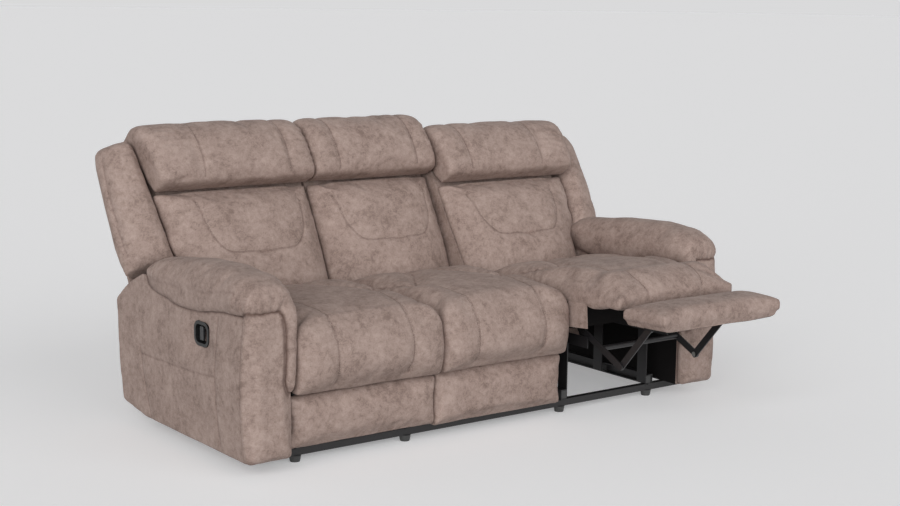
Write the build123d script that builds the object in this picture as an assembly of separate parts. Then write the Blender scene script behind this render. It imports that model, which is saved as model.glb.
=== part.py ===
from build123d import *
import math
import os

os.makedirs("parts", exist_ok=True)

# A three-seat reclining sofa: two reclining seats beside a fixed middle seat, between two padded arms.
# Millimetres. X runs across the sofa, Y to the back, Z up. Until the last step Y is counted from the
# line 12 mm ahead of the arm boxes. The left seat is closed and the right seat's footrest is out.

# Widths across the sofa
MID_WIDTH = 566.0
SEAT_WIDTH = 587.0
UNIT_GAP = 3.0
LINING = 3.0
LINING_GAP = 4.0
ARM_WIDTH = 162.0
ARM_SKIN = 14.0
SOFT_GAP = 0.3

# Base: feet, cross rails and the channels that the seats run in
FOOT_HEIGHT = 22.0
FOOT_RADIUS = 21.0
RAIL_SIZE = 25.0
RAIL_WALL = 2.0
RAIL_FRONT_Y = 104.0
RAIL_PAST_BACK = 175.0
RAIL_END_INSET = 60.0
TRACK_OFFSET = 212.0
TRACK_WIDTH = 24.0
TRACK_HEIGHT = 40.0
TRACK_WALL = 4.0
TRACK_FRONT_Y = 80.0
TRACK_PAST_BACK = 200.0
SHOE_LENGTH = 50.0
SHOE_CLEARANCE = 0.5
TRAVEL = 130.0

# Seat frame and cushion
SEAT_FRONT_Y = 97.0
SEAT_FRAME_DEPTH = 479.0
SEAT_FRAME_HEIGHT = 90.0
DECK_TOP = 395.0
SEAT_CROWN = 18.0
SEAT_THICK = 65.0
SEAT_TO_BACK = 7.0
SEAT_LINE = 0.256
TUFT_LINE = 0.325
SEAT_SIDE_INSET = 8.0
SEAT_TILT = 5.0
RUNNER = 60.0

# Chaise pad and footrest
HINGE_Y = 5.0
HINGE_Z = 420.0
PAD_RADIUS = 38.0
PAD_LENGTH = 173.0
PAD_BULGE = 26.0
PAD_RUN_GAP = 0.8
PAD_END_GAP = 4.0
CHAISE_TURN = 81.0
OTTOMAN_TUCK = 2.5
OTTOMAN_TURN = 9.0
OTTOMAN_LENGTH = 184.0
OTTOMAN_PAD = 44.0
OTTOMAN_CROWN = 10.0
OTTOMAN_BOARD = 16.0

# Footrest linkage, in layers inwards from each side plate
PLATE = 4.0
PLATE_GAP = 1.5
LINK = 5.0
LINK_HALF = 13.0
PIN_RADIUS = 6.0
PIN_CLEARANCE = 0.05
OPEN_PIN_CLEARANCE = 0.5
RIVET_HEAD = 9.5
RIVET_HEAD_HEIGHT = 3.0
HEAD_GAP = 0.6
PIVOT_Y = 150.0
PIVOT_Z = 284.0
BRACKET_BACK = 76.0
BRACKET_DOWN = 34.0
BRACKET_HALF = 36.0
TUBE_SIZE = 20.0
SIDE_RAIL_HEIGHT = 42.0
LEG_WIDTH = 50.0
FRONT_LEG_Y = 214.0
REAR_LEG_TO_BACK = 135.0
SHELF_SETBACK = 230.0

# Reclining back, in lengths along and behind a line through the recline pivot
FRAME_TO_BACK = 29.0
RECLINE_Z = 370.0
BACK_LEAN = 27.0
BACK_TILT = 6.0
FRAME_FRONT = 60.0
FRAME_REAR = 185.0
FRAME_BOTTOM = -32.0
FRAME_TOP = 650.0
CRANK_FORWARD = 11.0
CRANK_DOWN = 70.0
CRANK_HALF = 10.0
EAR_HIGH = 10.0
LUG = 14.0
FLANGE = 26.0
COVER = 12.0
COVER_BOTTOM = -150.0
BACK_BOTTOM = 25.0
HEAD_SEAM = 524.0
BACK_CROWN = 26.0
SHIELD_DROP = 264.0
HEAD_RISE = 128.0
HEAD_LINE = 0.29
WING_START = 345.0
WING_LOW = 215.0

# Arms
ARM_FRONT_Y = 12.0
ARM_PAST_BACK = 120.0
ARM_TOP_FRONT = 528.0
ARM_TOP_REAR = 562.0
ARM_TAIL = 211.0
ARM_REAR_Z = 446.0
ARM_POCKET_Z = 330.0
ARM_PAD_OVERHANG_IN = 16.0
ARM_PAD_OVERHANG_OUT = 22.0
ARM_PAD_HEIGHT = 122.0
FRONT_PAD = 21.0
GUSSET_WIDTH = 20.0
TONGUE_LENGTH = 257.0

# Recessed release handle
HANDLE_Y = 296.0
HANDLE_Z = 427.0
BEZEL_LONG = 100.0
BEZEL_TALL = 84.0
BEZEL_LIP = 9.0
BEZEL_PROUD = 4.0
CUP_DEPTH = 34.0
CUP_WALL = 2.0
LEVER_THICK = 7.0
LEVER_GAP = 2.0
LEVER_REACH = 36.0
LEVER_PIN = 2.5

# Lines that follow from the sizes above
mid_half = MID_WIDTH / 2
seat_in = mid_half + UNIT_GAP
seat_out = seat_in + SEAT_WIDTH
seat_mid = (seat_in + seat_out) / 2
arm_in = seat_out + LINING_GAP + LINING
arm_out = arm_in + ARM_WIDTH
skin_in = arm_out - ARM_SKIN
back_low_out = arm_in - ARM_PAD_OVERHANG_IN - 7
back_high_out = arm_in + 24
wing_out = skin_in - 4
head_top = FRAME_TOP + HEAD_RISE
cover_top = head_top - 13
wing_top = head_top - 28
rail_bottom = FOOT_HEIGHT
rail_top = FOOT_HEIGHT + RAIL_SIZE
frame_bottom = DECK_TOP - SEAT_FRAME_HEIGHT
recline_y = SEAT_FRONT_Y + SEAT_FRAME_DEPTH + FRAME_TO_BACK
seat_rear_y = recline_y - SEAT_TO_BACK
rear_leg_y = recline_y - REAR_LEG_TO_BACK
rail_rear_y = recline_y + RAIL_PAST_BACK
track_rear_y = recline_y + TRACK_PAST_BACK
arm_box_rear = recline_y + ARM_PAST_BACK
arm_box_depth = arm_box_rear - ARM_FRONT_Y
arm_rear_y = arm_box_rear + ARM_TAIL
plate_in = TRACK_OFFSET - PLATE - 5
ear_in = plate_in - PLATE_GAP - PLATE
drive_in = ear_in - PLATE_GAP - LINK
lift_in = drive_in - PLATE_GAP - LINK
bracket_in = lift_in - PLATE_GAP - LINK
OPEN = {-1: 0.0, 1: 1.0}
NAME = {-1: "left", 1: "right"}

nodes = {}


def side_plane(x):
    """Plane across the sofa at x, drawn in Y and Z."""
    return Plane((x, 0, 0), x_dir=(0, 1, 0), z_dir=(1, 0, 0))


def outline(plane, start, *steps):
    """Closed face: a step is an end point, or a (through, end) pair for an arc."""
    edges = []
    here = start
    for step in steps:
        if isinstance(step[0], tuple):
            through, end = step
            edges.append(ThreePointArc(here, through, end))
        else:
            end = step
            if end != here:
                edges.append(Line(here, end))
        here = end
    if here != start:
        edges.append(Line(here, start))
    return plane * make_face(edges)


def bow(a, b, share):
    """Arc from one point to the next that swells to the right by a share of its chord."""
    middle = ((a[0] + b[0]) / 2 + share * (b[1] - a[1]), (a[1] + b[1]) / 2 - share * (b[0] - a[0]))
    return (middle, b)


def block(x0, x1, y0, y1, z0, z1):
    """Box between two corners."""
    return Pos((x0 + x1) / 2, (y0 + y1) / 2, (z0 + z1) / 2) * Box(abs(x1 - x0), y1 - y0, z1 - z0)


def slab(points, x0, x1):
    """Flat piece with a side outline of straight lines, from x0 to x1."""
    low, high = sorted((x0, x1))
    face = outline(side_plane(low), points[0], *points[1:])
    return extrude(face, amount=high - low)


def disc(y, z, radius, x0, x1):
    """Round rod across the sofa."""
    low, high = sorted((x0, x1))
    return extrude(side_plane(low) * (Pos(y, z) * Circle(radius)), amount=high - low)


def bar(p, q, half, x0, x1):
    """Flat link with round ends at two points of the side view."""
    low, high = sorted((x0, x1))
    length = math.dist(p, q)
    angle = math.degrees(math.atan2(q[1] - p[1], q[0] - p[0]))
    middle = ((p[0] + q[0]) / 2, (p[1] + q[1]) / 2)
    shape = Pos(*middle) * Rot(0, 0, angle) * Rectangle(length, 2 * half)
    shape += Pos(*p) * Circle(half)
    shape += Pos(*q) * Circle(half)
    return extrude(side_plane(low) * shape, amount=high - low)


def rivet(p, x0, x1, towards):
    """Pin between two faces with a round head on the far end."""
    pin = disc(*p, PIN_RADIUS, x0, x1)
    return pin + disc(*p, RIVET_HEAD, x1, x1 + towards * RIVET_HEAD_HEIGHT)


def turn(p, angle):
    """Turn in the side view about a point: forwards and up for a hanging piece, back for a standing one."""
    return Pos(0, *p) * Rot(-angle, 0, 0) * Pos(0, -p[0], -p[1])


def turned(p, centre, angle):
    """The same turn for a point of the side view."""
    a = math.radians(angle)
    y = p[0] - centre[0]
    z = p[1] - centre[1]
    return (centre[0] + y * math.cos(a) + z * math.sin(a), centre[1] - y * math.sin(a) + z * math.cos(a))


def meet(p, first, q, second, near):
    """Point at two distances from two points of the side view, the one nearest to a third point."""
    dy = q[0] - p[0]
    dz = q[1] - p[1]
    reach = math.hypot(dy, dz)
    along = (first ** 2 - second ** 2 + reach ** 2) / (2 * reach)
    aside = math.sqrt(first ** 2 - along ** 2)
    points = []
    for sign in (-1, 1):
        y = p[0] + (dy * along - sign * dz * aside) / reach
        z = p[1] + (dz * along + sign * dy * aside) / reach
        points.append((y, z))
    return min(points, key=lambda point: math.dist(point, near))


def back_plane(along):
    """Plane square to the back's slope at a distance up it, drawn in X and behind."""
    lean = math.radians(BACK_LEAN)
    origin = (0, recline_y + along * math.sin(lean), RECLINE_Z + along * math.cos(lean))
    return Plane(origin, x_dir=(1, 0, 0), z_dir=(0, math.sin(lean), math.cos(lean)))


def back_point(along, behind):
    """Side-view point from a distance up the back and a distance behind its front line."""
    lean = math.radians(BACK_LEAN)
    y = recline_y + along * math.sin(lean) + behind * math.cos(lean)
    z = RECLINE_Z + along * math.cos(lean) - behind * math.sin(lean)
    return (y, z)


def mix(stations, x):
    """Straight-line reading of (place, value) pairs."""
    for (x0, v0), (x1, v1) in zip(stations, stations[1:]):
        if x0 <= x <= x1:
            return v0 + (v1 - v0) * (x - x0) / (x1 - x0)
    return stations[-1][1]


def across(x0, x1, full, edge, channel=None, line=SEAT_LINE):
    """Stations of a padded width: drawn-in sides, a full middle and two sewn channels off its middle."""
    low, high = sorted((x0, x1))
    width = high - low
    soft = min(60.0, width * 0.12)
    half = 13.0
    seams = [low + width * (0.5 - line), high - width * (0.5 - line)]
    stations = [(low, edge), (low + soft * 0.3, edge + (full - edge) * 0.6), (low + soft, full * 0.92)]
    for seam in seams:
        if channel is not None:
            stations += [(seam - half, full * 0.97), (seam, channel), (seam + half, full * 0.97)]
        if seam == seams[0]:
            stations.append((low + width / 2, full))
    stations += [(high - soft, full * 0.92), (high - soft * 0.3, edge + (full - edge) * 0.6), (high, edge)]
    return stations


def groove(points, radius):
    """Six-sided cutter along a sewn line; its runs lap at the corners."""
    lap = 0.4 * radius
    cutter = None
    for a, b in zip(points, points[1:]):
        direction = Vector(*b) - Vector(*a)
        start = Vector(*a) - direction.normalized() * lap
        plane = Plane(start, z_dir=direction)
        rod = extrude(plane * RegularPolygon(radius, 6), amount=direction.length + 2 * lap)
        cutter = rod if cutter is None else cutter + rod
    return cutter


# Pivots of a seat in the side view, with the seat closed
hinge = (HINGE_Y, HINGE_Z)
knee = (HINGE_Y, HINGE_Z - PAD_LENGTH)
pivot = (PIVOT_Y, PIVOT_Z)
recline = (recline_y, RECLINE_Z)


def bracket_pin(opened):
    """Pin on the footrest's bracket at a share of the footrest's swing, seen from the seat's frame."""
    local = (knee[0] + BRACKET_BACK, knee[1] - BRACKET_DOWN)
    tilted = turned(local, knee, -OTTOMAN_TUCK + OTTOMAN_TURN * opened)
    return turned(tilted, hinge, CHAISE_TURN * opened)


def link_elbow(pin, drive, lift):
    """Pin between the two links for a place of the bracket's pin and two link lengths."""
    square = (pin[0] + pivot[0] - hinge[0], pin[1] + pivot[1] - hinge[1])
    return meet(pivot, drive, pin, lift, square)


def bearing(p, q):
    """Direction from one point of the side view to another."""
    return math.atan2(q[1] - p[1], q[0] - p[0])


def pin_gap(drive, lift):
    """How far the links part from the bracket half-way through the swing."""
    lower = 0.0
    upper = 0.0
    for opened in (0, 1):
        pin = bracket_pin(opened)
        elbow = link_elbow(pin, drive, lift)
        lower += bearing(pivot, elbow) / 2
        upper += bearing(elbow, pin) / 2
    y = pivot[0] + drive * math.cos(lower) + lift * math.cos(upper)
    z = pivot[1] + drive * math.sin(lower) + lift * math.sin(upper)
    return math.dist((y, z), bracket_pin(0.5))


def link_lengths():
    """Lengths near a parallelogram with the hinge that keep the pin together half-way as well."""
    best = (math.dist(hinge, bracket_pin(0.5)), math.dist(hinge, pivot))
    step = 8.0
    while step > 0.002:
        tries = [(best[0] + i * step, best[1] + j * step) for i in (-1, 0, 1) for j in (-1, 0, 1)]
        found = min(tries, key=lambda pair: pin_gap(*pair))
        if found == best:
            step /= 2
        best = found
    return best


drive_length, lift_length = link_lengths()


def elbow_pin(opened):
    """Pin between the two links at a share of the footrest's swing."""
    return link_elbow(bracket_pin(opened), drive_length, lift_length)


def seat_top(y, crown):
    """Height of the seat cushion's upper face."""
    rear = seat_rear_y + 34
    front = HINGE_Y + 70
    u = (y - front) / (rear - front)
    base = DECK_TOP + SEAT_THICK
    start = base + 0.3 * crown
    end = base - 2
    bow = base + crown - (start + end) / 2
    return start + (end - start) * u + 4 * bow * u * (1 - u)


def seat_face(x, crown, fixed):
    """Side outline of a seat cushion; the fixed seat carries its own front roll."""
    base = DECK_TOP + SOFT_GAP
    rear_top = (seat_rear_y + 34, seat_top(seat_rear_y + 34, crown))
    front_top = (HINGE_Y + 70, seat_top(HINGE_Y + 70, crown))
    middle = ((rear_top[0] + front_top[0]) / 2, DECK_TOP + SEAT_THICK + crown)
    if not fixed:
        run = PAD_RADIUS + PAD_RUN_GAP
        tip_angle = math.radians(62)
        tip = (HINGE_Y + run * math.cos(tip_angle), HINGE_Z + run * math.sin(tip_angle))
        bend = (HINGE_Y + run * math.cos(tip_angle / 2), HINGE_Z + run * math.sin(tip_angle / 2))
        return outline(side_plane(x), tip, (bend, (HINGE_Y + run, HINGE_Z)), (HINGE_Y + run, base),
                       (seat_rear_y, base), rear_top, (middle, front_top), tip)
    bulge = PAD_BULGE * crown / SEAT_CROWN
    face = HINGE_Y - PAD_RADIUS
    foot = knee[1] + PAD_END_GAP
    roll = (HINGE_Y - PAD_RADIUS * 0.7, HINGE_Z + PAD_RADIUS * 0.7)
    top = (HINGE_Y, HINGE_Z + PAD_RADIUS)
    rear = SEAT_FRONT_Y - SOFT_GAP
    return outline(side_plane(x), (rear, foot), (rear, base), (seat_rear_y, base), rear_top,
                   (middle, front_top), top, (roll, (face, HINGE_Z)),
                   ((face - bulge, (HINGE_Z + foot) / 2 + 10), (face + 6, foot + 18)),
                   ((face + 10, foot + 5), (face + 24, foot)))


def seat_seams(x0, x1, stations):
    """Sewn lines on a seat: from the front to a tuft on each side, then in to the back and out."""
    low, high = sorted((x0, x1))
    width = high - low
    middle = (low + high) / 2
    depth = seat_rear_y - HINGE_Y
    tuft = (TUFT_LINE, 0.447)
    runs = [[(SEAT_LINE, 76 / depth), (0.295, 0.28), tuft, (0.22, 0.615), (0.13, 0.767), (0.085, 0.93)],
            [tuft, (0.40, 0.52), (0.44, 0.59)]]
    cutters = []
    for side in (-1, 1):
        for run in runs:
            line = []
            for share, back in run:
                x = middle + side * share * width
                y = HINGE_Y + back * depth
                line.append((x, y, seat_top(y, mix(stations, x)) + 2))
            cutters.append(groove(line, 7.0))
    return cutters


def seat_cushion(x0, x1, fixed):
    """Seat cushion with its crown, drawn-in sides and sewn lines."""
    channel = SEAT_CROWN * 0.45 if fixed else None
    stations = across(x0, x1, SEAT_CROWN, -SEAT_CROWN * 0.3, channel)
    plain = across(x0, x1, SEAT_CROWN, -SEAT_CROWN * 0.3)
    body = loft([seat_face(x, crown, fixed) for x, crown in stations], ruled=True)
    for cutter in seat_seams(x0, x1, plain):
        body -= cutter
    return body


def chaise_face(x, bulge):
    """Side outline of the hanging chaise pad: a round end on the seat's hinge line and a crowned front."""
    face = HINGE_Y - PAD_RADIUS
    back = HINGE_Y + PAD_RADIUS
    foot = knee[1] + PAD_END_GAP
    c = PAD_RADIUS * math.cos(math.pi / 4)
    return outline(side_plane(x), (back, HINGE_Z),
                   ((HINGE_Y + c, HINGE_Z + c), (HINGE_Y, HINGE_Z + PAD_RADIUS)),
                   ((HINGE_Y - c, HINGE_Z + c), (face, HINGE_Z)),
                   ((face - bulge, (HINGE_Z + foot) / 2 + 10), (face + 6, foot + 18)),
                   ((face + 10, foot + 5), (face + 24, foot)), (back - 12, foot),
                   ((back - 3, foot + 3), (back, foot + 12)))


def padded_board(x0, x1, front, rear, bottom, top, crown, edge=-4.0, channel=None):
    """Upright padded panel: crowned front, rounded upper and lower edges, flat back."""
    sections = []
    for x, swell in across(x0, x1, crown, edge, channel):
        sections.append(outline(side_plane(x), (rear, bottom), (rear, top), (front + 16, top),
                                ((front + 5, top - 5), (front, top - 16)),
                                ((front - swell, (top + bottom) / 2), (front, bottom + 16)),
                                ((front + 5, bottom + 5), (front + 16, bottom))))
    return loft(sections, ruled=True)


def back_cushion(x0, low_x1, high_x1):
    """Lower back cushion: lofted up the slope, wider above the arms, with a sewn shield line."""
    rear = FRAME_FRONT - SOFT_GAP
    side_line = FRAME_FRONT - 22
    soft = 45.0
    top = HEAD_SEAM - 2
    rise = WING_START - BACK_BOTTOM
    levels = [(BACK_BOTTOM, 34, low_x1), (BACK_BOTTOM + 0.24 * rise, 46, low_x1),
              (BACK_BOTTOM + 0.40 * rise, 64, low_x1), (BACK_BOTTOM + 0.62 * rise, 74, low_x1),
              (WING_START - 15, 74, low_x1), (WING_START + 55, 70, high_x1),
              (top - 52, 62, high_x1), (top, 40, high_x1)]
    sections = []
    for along, ahead, x1 in levels:
        low, high = sorted((x0, x1))
        front = FRAME_FRONT - ahead
        swell = front - BACK_CROWN * (0.4 if along in (BACK_BOTTOM, top) else 1.0)
        sections.append(outline(back_plane(along), (low, rear), (low, side_line),
                                bow((low, side_line), (low + soft, front), 0.12),
                                (((low + high) / 2, swell), (high - soft, front)),
                                bow((high - soft, front), (high, side_line), 0.12), (high, rear)))
    body = loft(sections, ruled=True)
    middle = (x0 + low_x1) / 2
    width = abs(low_x1 - x0)
    shield = top - SHIELD_DROP
    half = [(0.2, shield), (0.28, shield + 24), (0.34, shield + 85), (0.37, shield + 165), (0.38, top - 40)]
    plan = [(-share, along) for share, along in reversed(half)] + half
    line = []
    for share, along in plan:
        x = middle + share * width
        front = FRAME_FRONT - mix([(level, ahead) for level, ahead, _ in levels], along)
        u = share / 0.43
        behind = front - BACK_CROWN * (1 - u * u)
        y, z = back_point(along, behind - 2)
        line.append((x, y, z))
    return body - groove(line, 6.5)


def headrest(x0, x1):
    """Headrest roll: crowned forwards and over the frame, with two sewn channels and drawn-in ends."""
    sections = []
    height = head_top - HEAD_SEAM
    rear = FRAME_REAR - 35
    for x, swell in across(x0, x1, 20.0, -16.0, 4.0, HEAD_LINE):
        face = FRAME_FRONT - swell
        plan = [(HEAD_SEAM + 2, FRAME_FRONT - SOFT_GAP), (HEAD_SEAM + 2, FRAME_FRONT - 42),
                (HEAD_SEAM + 0.15 * height, face - 80), (HEAD_SEAM + 0.425 * height, face - 106),
                (HEAD_SEAM + 0.75 * height, face - 120), (head_top - 16, face - 92),
                (head_top + swell * 0.3, FRAME_FRONT - 46), (head_top - 14 + swell * 0.2, FRAME_FRONT + 18),
                (head_top - 40, FRAME_FRONT + 62), (head_top - 88, rear),
                (FRAME_TOP + SOFT_GAP, rear), (FRAME_TOP + SOFT_GAP, FRAME_FRONT - SOFT_GAP)]
        p = [back_point(*spot) for spot in plan]
        sections.append(outline(side_plane(x), p[0], p[1], (p[2], p[3]), (p[4], p[5]), (p[6], p[7]),
                                (p[8], p[9]), p[10], p[11]))
    return loft(sections, ruled=True)


def wing(side):
    """Padded wing on the outer side of a reclining back."""
    first = back_high_out + 1
    span = wing_out - first
    sections = []
    for share, draw in ((0.0, 0.0), (0.2, -8.0), (0.7, -6.0), (0.92, 6.0), (1.0, 22.0)):
        x = side * (first + span * share)
        face = FRAME_FRONT + 8 + draw
        plan = [(WING_LOW + draw, FRAME_REAR), (WING_START + draw, face + 27),
                ((WING_START + wing_top) / 2, face + 2), (wing_top - 60, face),
                (wing_top - 8 - draw, FRAME_FRONT + 36), (wing_top - draw, FRAME_REAR)]
        p = [back_point(*spot) for spot in plan]
        sections.append(outline(side_plane(x), p[0], p[1], (p[2], p[3]), (p[4], p[5])))
    if side < 0:
        sections.reverse()
    return loft(sections, ruled=True)


def up_the_back(points, behind, thick):
    """Flat piece drawn in X and distance up the back, square to the slope."""
    plane = Plane((0, *back_point(0, behind)), x_dir=(1, 0, 0),
                  z_dir=(0, -math.cos(math.radians(BACK_LEAN)), math.sin(math.radians(BACK_LEAN))))
    return extrude(outline(plane, points[0], *points[1:]), amount=-thick)


def back_frame(x0, low_x1, high_x1):
    """Timber core of a back, stepped out above the arms."""
    outer = [(x0, FRAME_BOTTOM), (low_x1, FRAME_BOTTOM), (low_x1, WING_START), (high_x1, WING_START),
             (high_x1, FRAME_TOP), (x0, FRAME_TOP)]
    return up_the_back(outer, FRAME_FRONT, FRAME_REAR - FRAME_FRONT)


def make_base():
    """Cross rails, feet and the channels that carry the two moving seats."""
    reach = arm_out - RAIL_END_INSET
    rails = []
    feet = []
    tracks = []
    for y in (RAIL_FRONT_Y, rail_rear_y):
        core = RAIL_SIZE - 2 * RAIL_WALL
        section = Rectangle(RAIL_SIZE, RAIL_SIZE) - Rectangle(core, core)
        place = side_plane(-reach) * Pos(y, rail_bottom + RAIL_SIZE / 2)
        rails.append(extrude(place * section, amount=2 * reach))
        for side in (-1, 1):
            for offset in (-1, 1):
                x = side * seat_mid + offset * (TRACK_OFFSET + TRACK_WIDTH / 2)
                feet.append(Pos(x, y, FOOT_HEIGHT / 2) * Cone(FOOT_RADIUS - 4, FOOT_RADIUS, FOOT_HEIGHT))
    for side in (-1, 1):
        for offset in (-1, 1):
            x0 = side * seat_mid + offset * TRACK_OFFSET
            x1 = x0 + offset * TRACK_WIDTH
            channel = block(x0, x1, TRACK_FRONT_Y, track_rear_y, rail_top, rail_top + TRACK_HEIGHT)
            channel -= block(x0 - offset, x1 - offset * TRACK_WALL, TRACK_FRONT_Y - 1, track_rear_y + 1,
                             rail_top + TRACK_WALL, rail_top + TRACK_HEIGHT - TRACK_WALL)
            tracks.append(channel)
    nodes["cross_rails"] = rails
    nodes["feet"] = feet
    nodes["base_tracks"] = tracks


def make_arm(side):
    """One arm: box with an outer skin, front panel, top pad, gusset, lining and recessed handle."""
    name = NAME[side]
    slope = (ARM_TOP_REAR - ARM_TOP_FRONT) / arm_box_depth
    rear_low = (arm_rear_y - 31, rail_top + 28)
    box = slab([(ARM_FRONT_Y, rail_top), (arm_box_rear, rail_top), (arm_box_rear, ARM_TOP_REAR),
                (ARM_FRONT_Y, ARM_TOP_FRONT)], side * arm_in, side * skin_in)
    skin = slab([(ARM_FRONT_Y, rail_top), (arm_box_rear, rail_top), rear_low, (arm_rear_y, ARM_REAR_Z),
                 (arm_box_rear + 18, ARM_TOP_REAR + 18 * slope), (ARM_FRONT_Y, ARM_TOP_FRONT)],
                side * skin_in, side * arm_out)
    tail = slab([(arm_box_rear, rail_top), rear_low, (arm_rear_y - 10, ARM_POCKET_Z),
                 (arm_box_rear, ARM_POCKET_Z)], side * arm_in, side * skin_in)
    body = box + skin + tail
    cup_half_y = BEZEL_LONG / 2 - BEZEL_LIP + SOFT_GAP
    cup_half_z = BEZEL_TALL / 2 - BEZEL_LIP + SOFT_GAP
    mouth = block(side * (arm_out - CUP_DEPTH - SOFT_GAP), side * (arm_out + 1), HANDLE_Y - cup_half_y,
                  HANDLE_Y + cup_half_y, HANDLE_Z - cup_half_z, HANDLE_Z + cup_half_z)
    nodes[name + "_arm_body"] = body - mouth

    inner = arm_in + GUSSET_WIDTH
    sections = []
    for forward, draw in ((0.0, 0.0), (FRONT_PAD * 0.6, 0.0), (FRONT_PAD, 16.0)):
        plane = Plane((0, ARM_FRONT_Y - forward, 0), x_dir=(1, 0, 0), z_dir=(0, -1, 0))
        low, high = sorted((side * (inner + draw), side * (arm_out + 4 - draw)))
        shoulder = ARM_TOP_FRONT - 58 - draw
        sill = rail_top + 3 + draw
        sections.append(outline(plane, (low, sill), (high, sill), (high, shoulder),
                                (((low + high) / 2, ARM_TOP_FRONT - 1 - draw), (low, shoulder))))
    nodes[name + "_arm_front"] = loft(sections, ruled=True)

    sections = []
    gusset_low = ARM_TOP_FRONT - TONGUE_LENGTH
    for z, width in ((gusset_low, 5.0), (gusset_low + 130, 14.0), (ARM_TOP_FRONT - 2, GUSSET_WIDTH - 0.5)):
        low, high = sorted((side * (arm_in - 3), side * (arm_in - 3 + width)))
        front = ARM_FRONT_Y - FRONT_PAD - 3
        sections.append(outline(Plane.XY.offset(z), (low, ARM_FRONT_Y), (low, front + 9),
                                (((low + high) / 2, front), (high, front + 9)), (high, ARM_FRONT_Y)))
    nodes[name + "_arm_gusset"] = loft(sections, ruled=True)

    sections = []
    pad_in = arm_in - ARM_PAD_OVERHANG_IN
    pad_out = arm_out + ARM_PAD_OVERHANG_OUT
    nose = ARM_FRONT_Y - FRONT_PAD - 13
    stations = [(nose, 34, 0.50), (nose + 14, 12, 0.80), (ARM_FRONT_Y + 48, 0, 0.96),
                (ARM_FRONT_Y + 0.24 * arm_box_depth, 0, 1.0), (ARM_FRONT_Y + 0.54 * arm_box_depth, 2, 0.83),
                (arm_box_rear - 85, 6, 0.52), (arm_box_rear - 35, 10, 0.42), (arm_box_rear, 30, 0.16)]
    for y, draw, height in stations:
        base = max(ARM_TOP_FRONT, ARM_TOP_FRONT + (y - ARM_FRONT_Y) * slope) + SOFT_GAP
        lift = 0.22 * ARM_PAD_HEIGHT if y == nose else 0.0
        low, high = sorted((side * (pad_in + draw), side * (pad_out - draw)))
        top = base + ARM_PAD_HEIGHT * height + lift * 0.3
        base += lift
        edge = base + (top - base) * 0.45
        spots = [(high - 14, base), (high, edge), (high - 52, top - 3), (low + 52, top - 3), (low, edge),
                 (low + 14, base)]
        sections.append(outline(Plane((0, y, 0), x_dir=(1, 0, 0), z_dir=(0, -1, 0)), spots[5], spots[0],
                                bow(spots[0], spots[1], 0.10), bow(spots[1], spots[2], 0.14),
                                (((low + high) / 2, top), spots[3]), bow(spots[3], spots[4], 0.14),
                                bow(spots[4], spots[5], 0.10)))
    nodes[name + "_arm_pad"] = loft(sections, ruled=True)

    nodes[name + "_arm_lining"] = block(side * (arm_in - LINING), side * arm_in, ARM_FRONT_Y + 6,
                                        arm_box_rear - 5, rail_top + 4, ARM_POCKET_Z)
    make_handle(side)


def rounded(long, tall, corner, x0, x1):
    """Block with rounded corners in the side view, centred on the handle."""
    low, high = sorted((x0, x1))
    face = side_plane(low) * (Pos(HANDLE_Y, HANDLE_Z) * RectangleRounded(long, tall, corner))
    return extrude(face, amount=high - low)


def make_handle(side):
    """Recessed cup with a rounded bezel, and the pull lever hinged on its rear wall."""
    name = NAME[side]
    face = side * arm_out
    floor = side * (arm_out - CUP_DEPTH)
    cup_long = BEZEL_LONG - 2 * BEZEL_LIP
    cup_tall = BEZEL_TALL - 2 * BEZEL_LIP
    bezel = rounded(BEZEL_LONG, BEZEL_TALL, 30, face, side * (arm_out + BEZEL_PROUD))
    bezel += rounded(cup_long, cup_tall, 22, face, floor)
    bezel -= rounded(cup_long - 2 * CUP_WALL, cup_tall - 2 * CUP_WALL, 20,
                     side * (arm_out + BEZEL_PROUD + 1), side * (arm_out - CUP_DEPTH + CUP_WALL))
    pin_x, pin_y = lever_pin(side)
    pin_half = cup_tall / 2 - CUP_WALL
    nodes[name + "_handle_bezel"] = bezel + Pos(pin_x, pin_y, HANDLE_Z) * Cylinder(LEVER_PIN, 2 * pin_half)
    half = pin_half - LEVER_GAP - 6
    outer = side * (arm_out - 2)
    under = outer - side * LEVER_THICK
    elbow_y = pin_y - 12
    lever = block(under, outer, pin_y - LEVER_REACH, elbow_y, HANDLE_Z - half, HANDLE_Z + half)
    hub_half = half - 7
    lever += slab_plan([(pin_x - side * 5, pin_y), (pin_x + side * 5, pin_y), (outer, elbow_y),
                        (under, elbow_y)], HANDLE_Z - hub_half, HANDLE_Z + hub_half)
    lever += Pos(pin_x, pin_y, HANDLE_Z) * Cylinder(2 * LEVER_PIN, 2 * hub_half)
    lever -= Pos(pin_x, pin_y, HANDLE_Z) * Cylinder(LEVER_PIN + PIN_CLEARANCE, 2 * pin_half)
    nodes[name + "_handle_lever"] = lever


def lever_pin(side):
    """Plan position of the lever's upright pin, near the rear wall of the cup."""
    return (side * (arm_out - CUP_DEPTH / 2), HANDLE_Y + BEZEL_LONG / 2 - BEZEL_LIP - CUP_WALL - 8)


def slab_plan(points, z0, z1):
    """Flat piece drawn in plan, from z0 to z1."""
    return extrude(outline(Plane.XY.offset(z0), points[0], *points[1:]), amount=z1 - z0)


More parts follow.
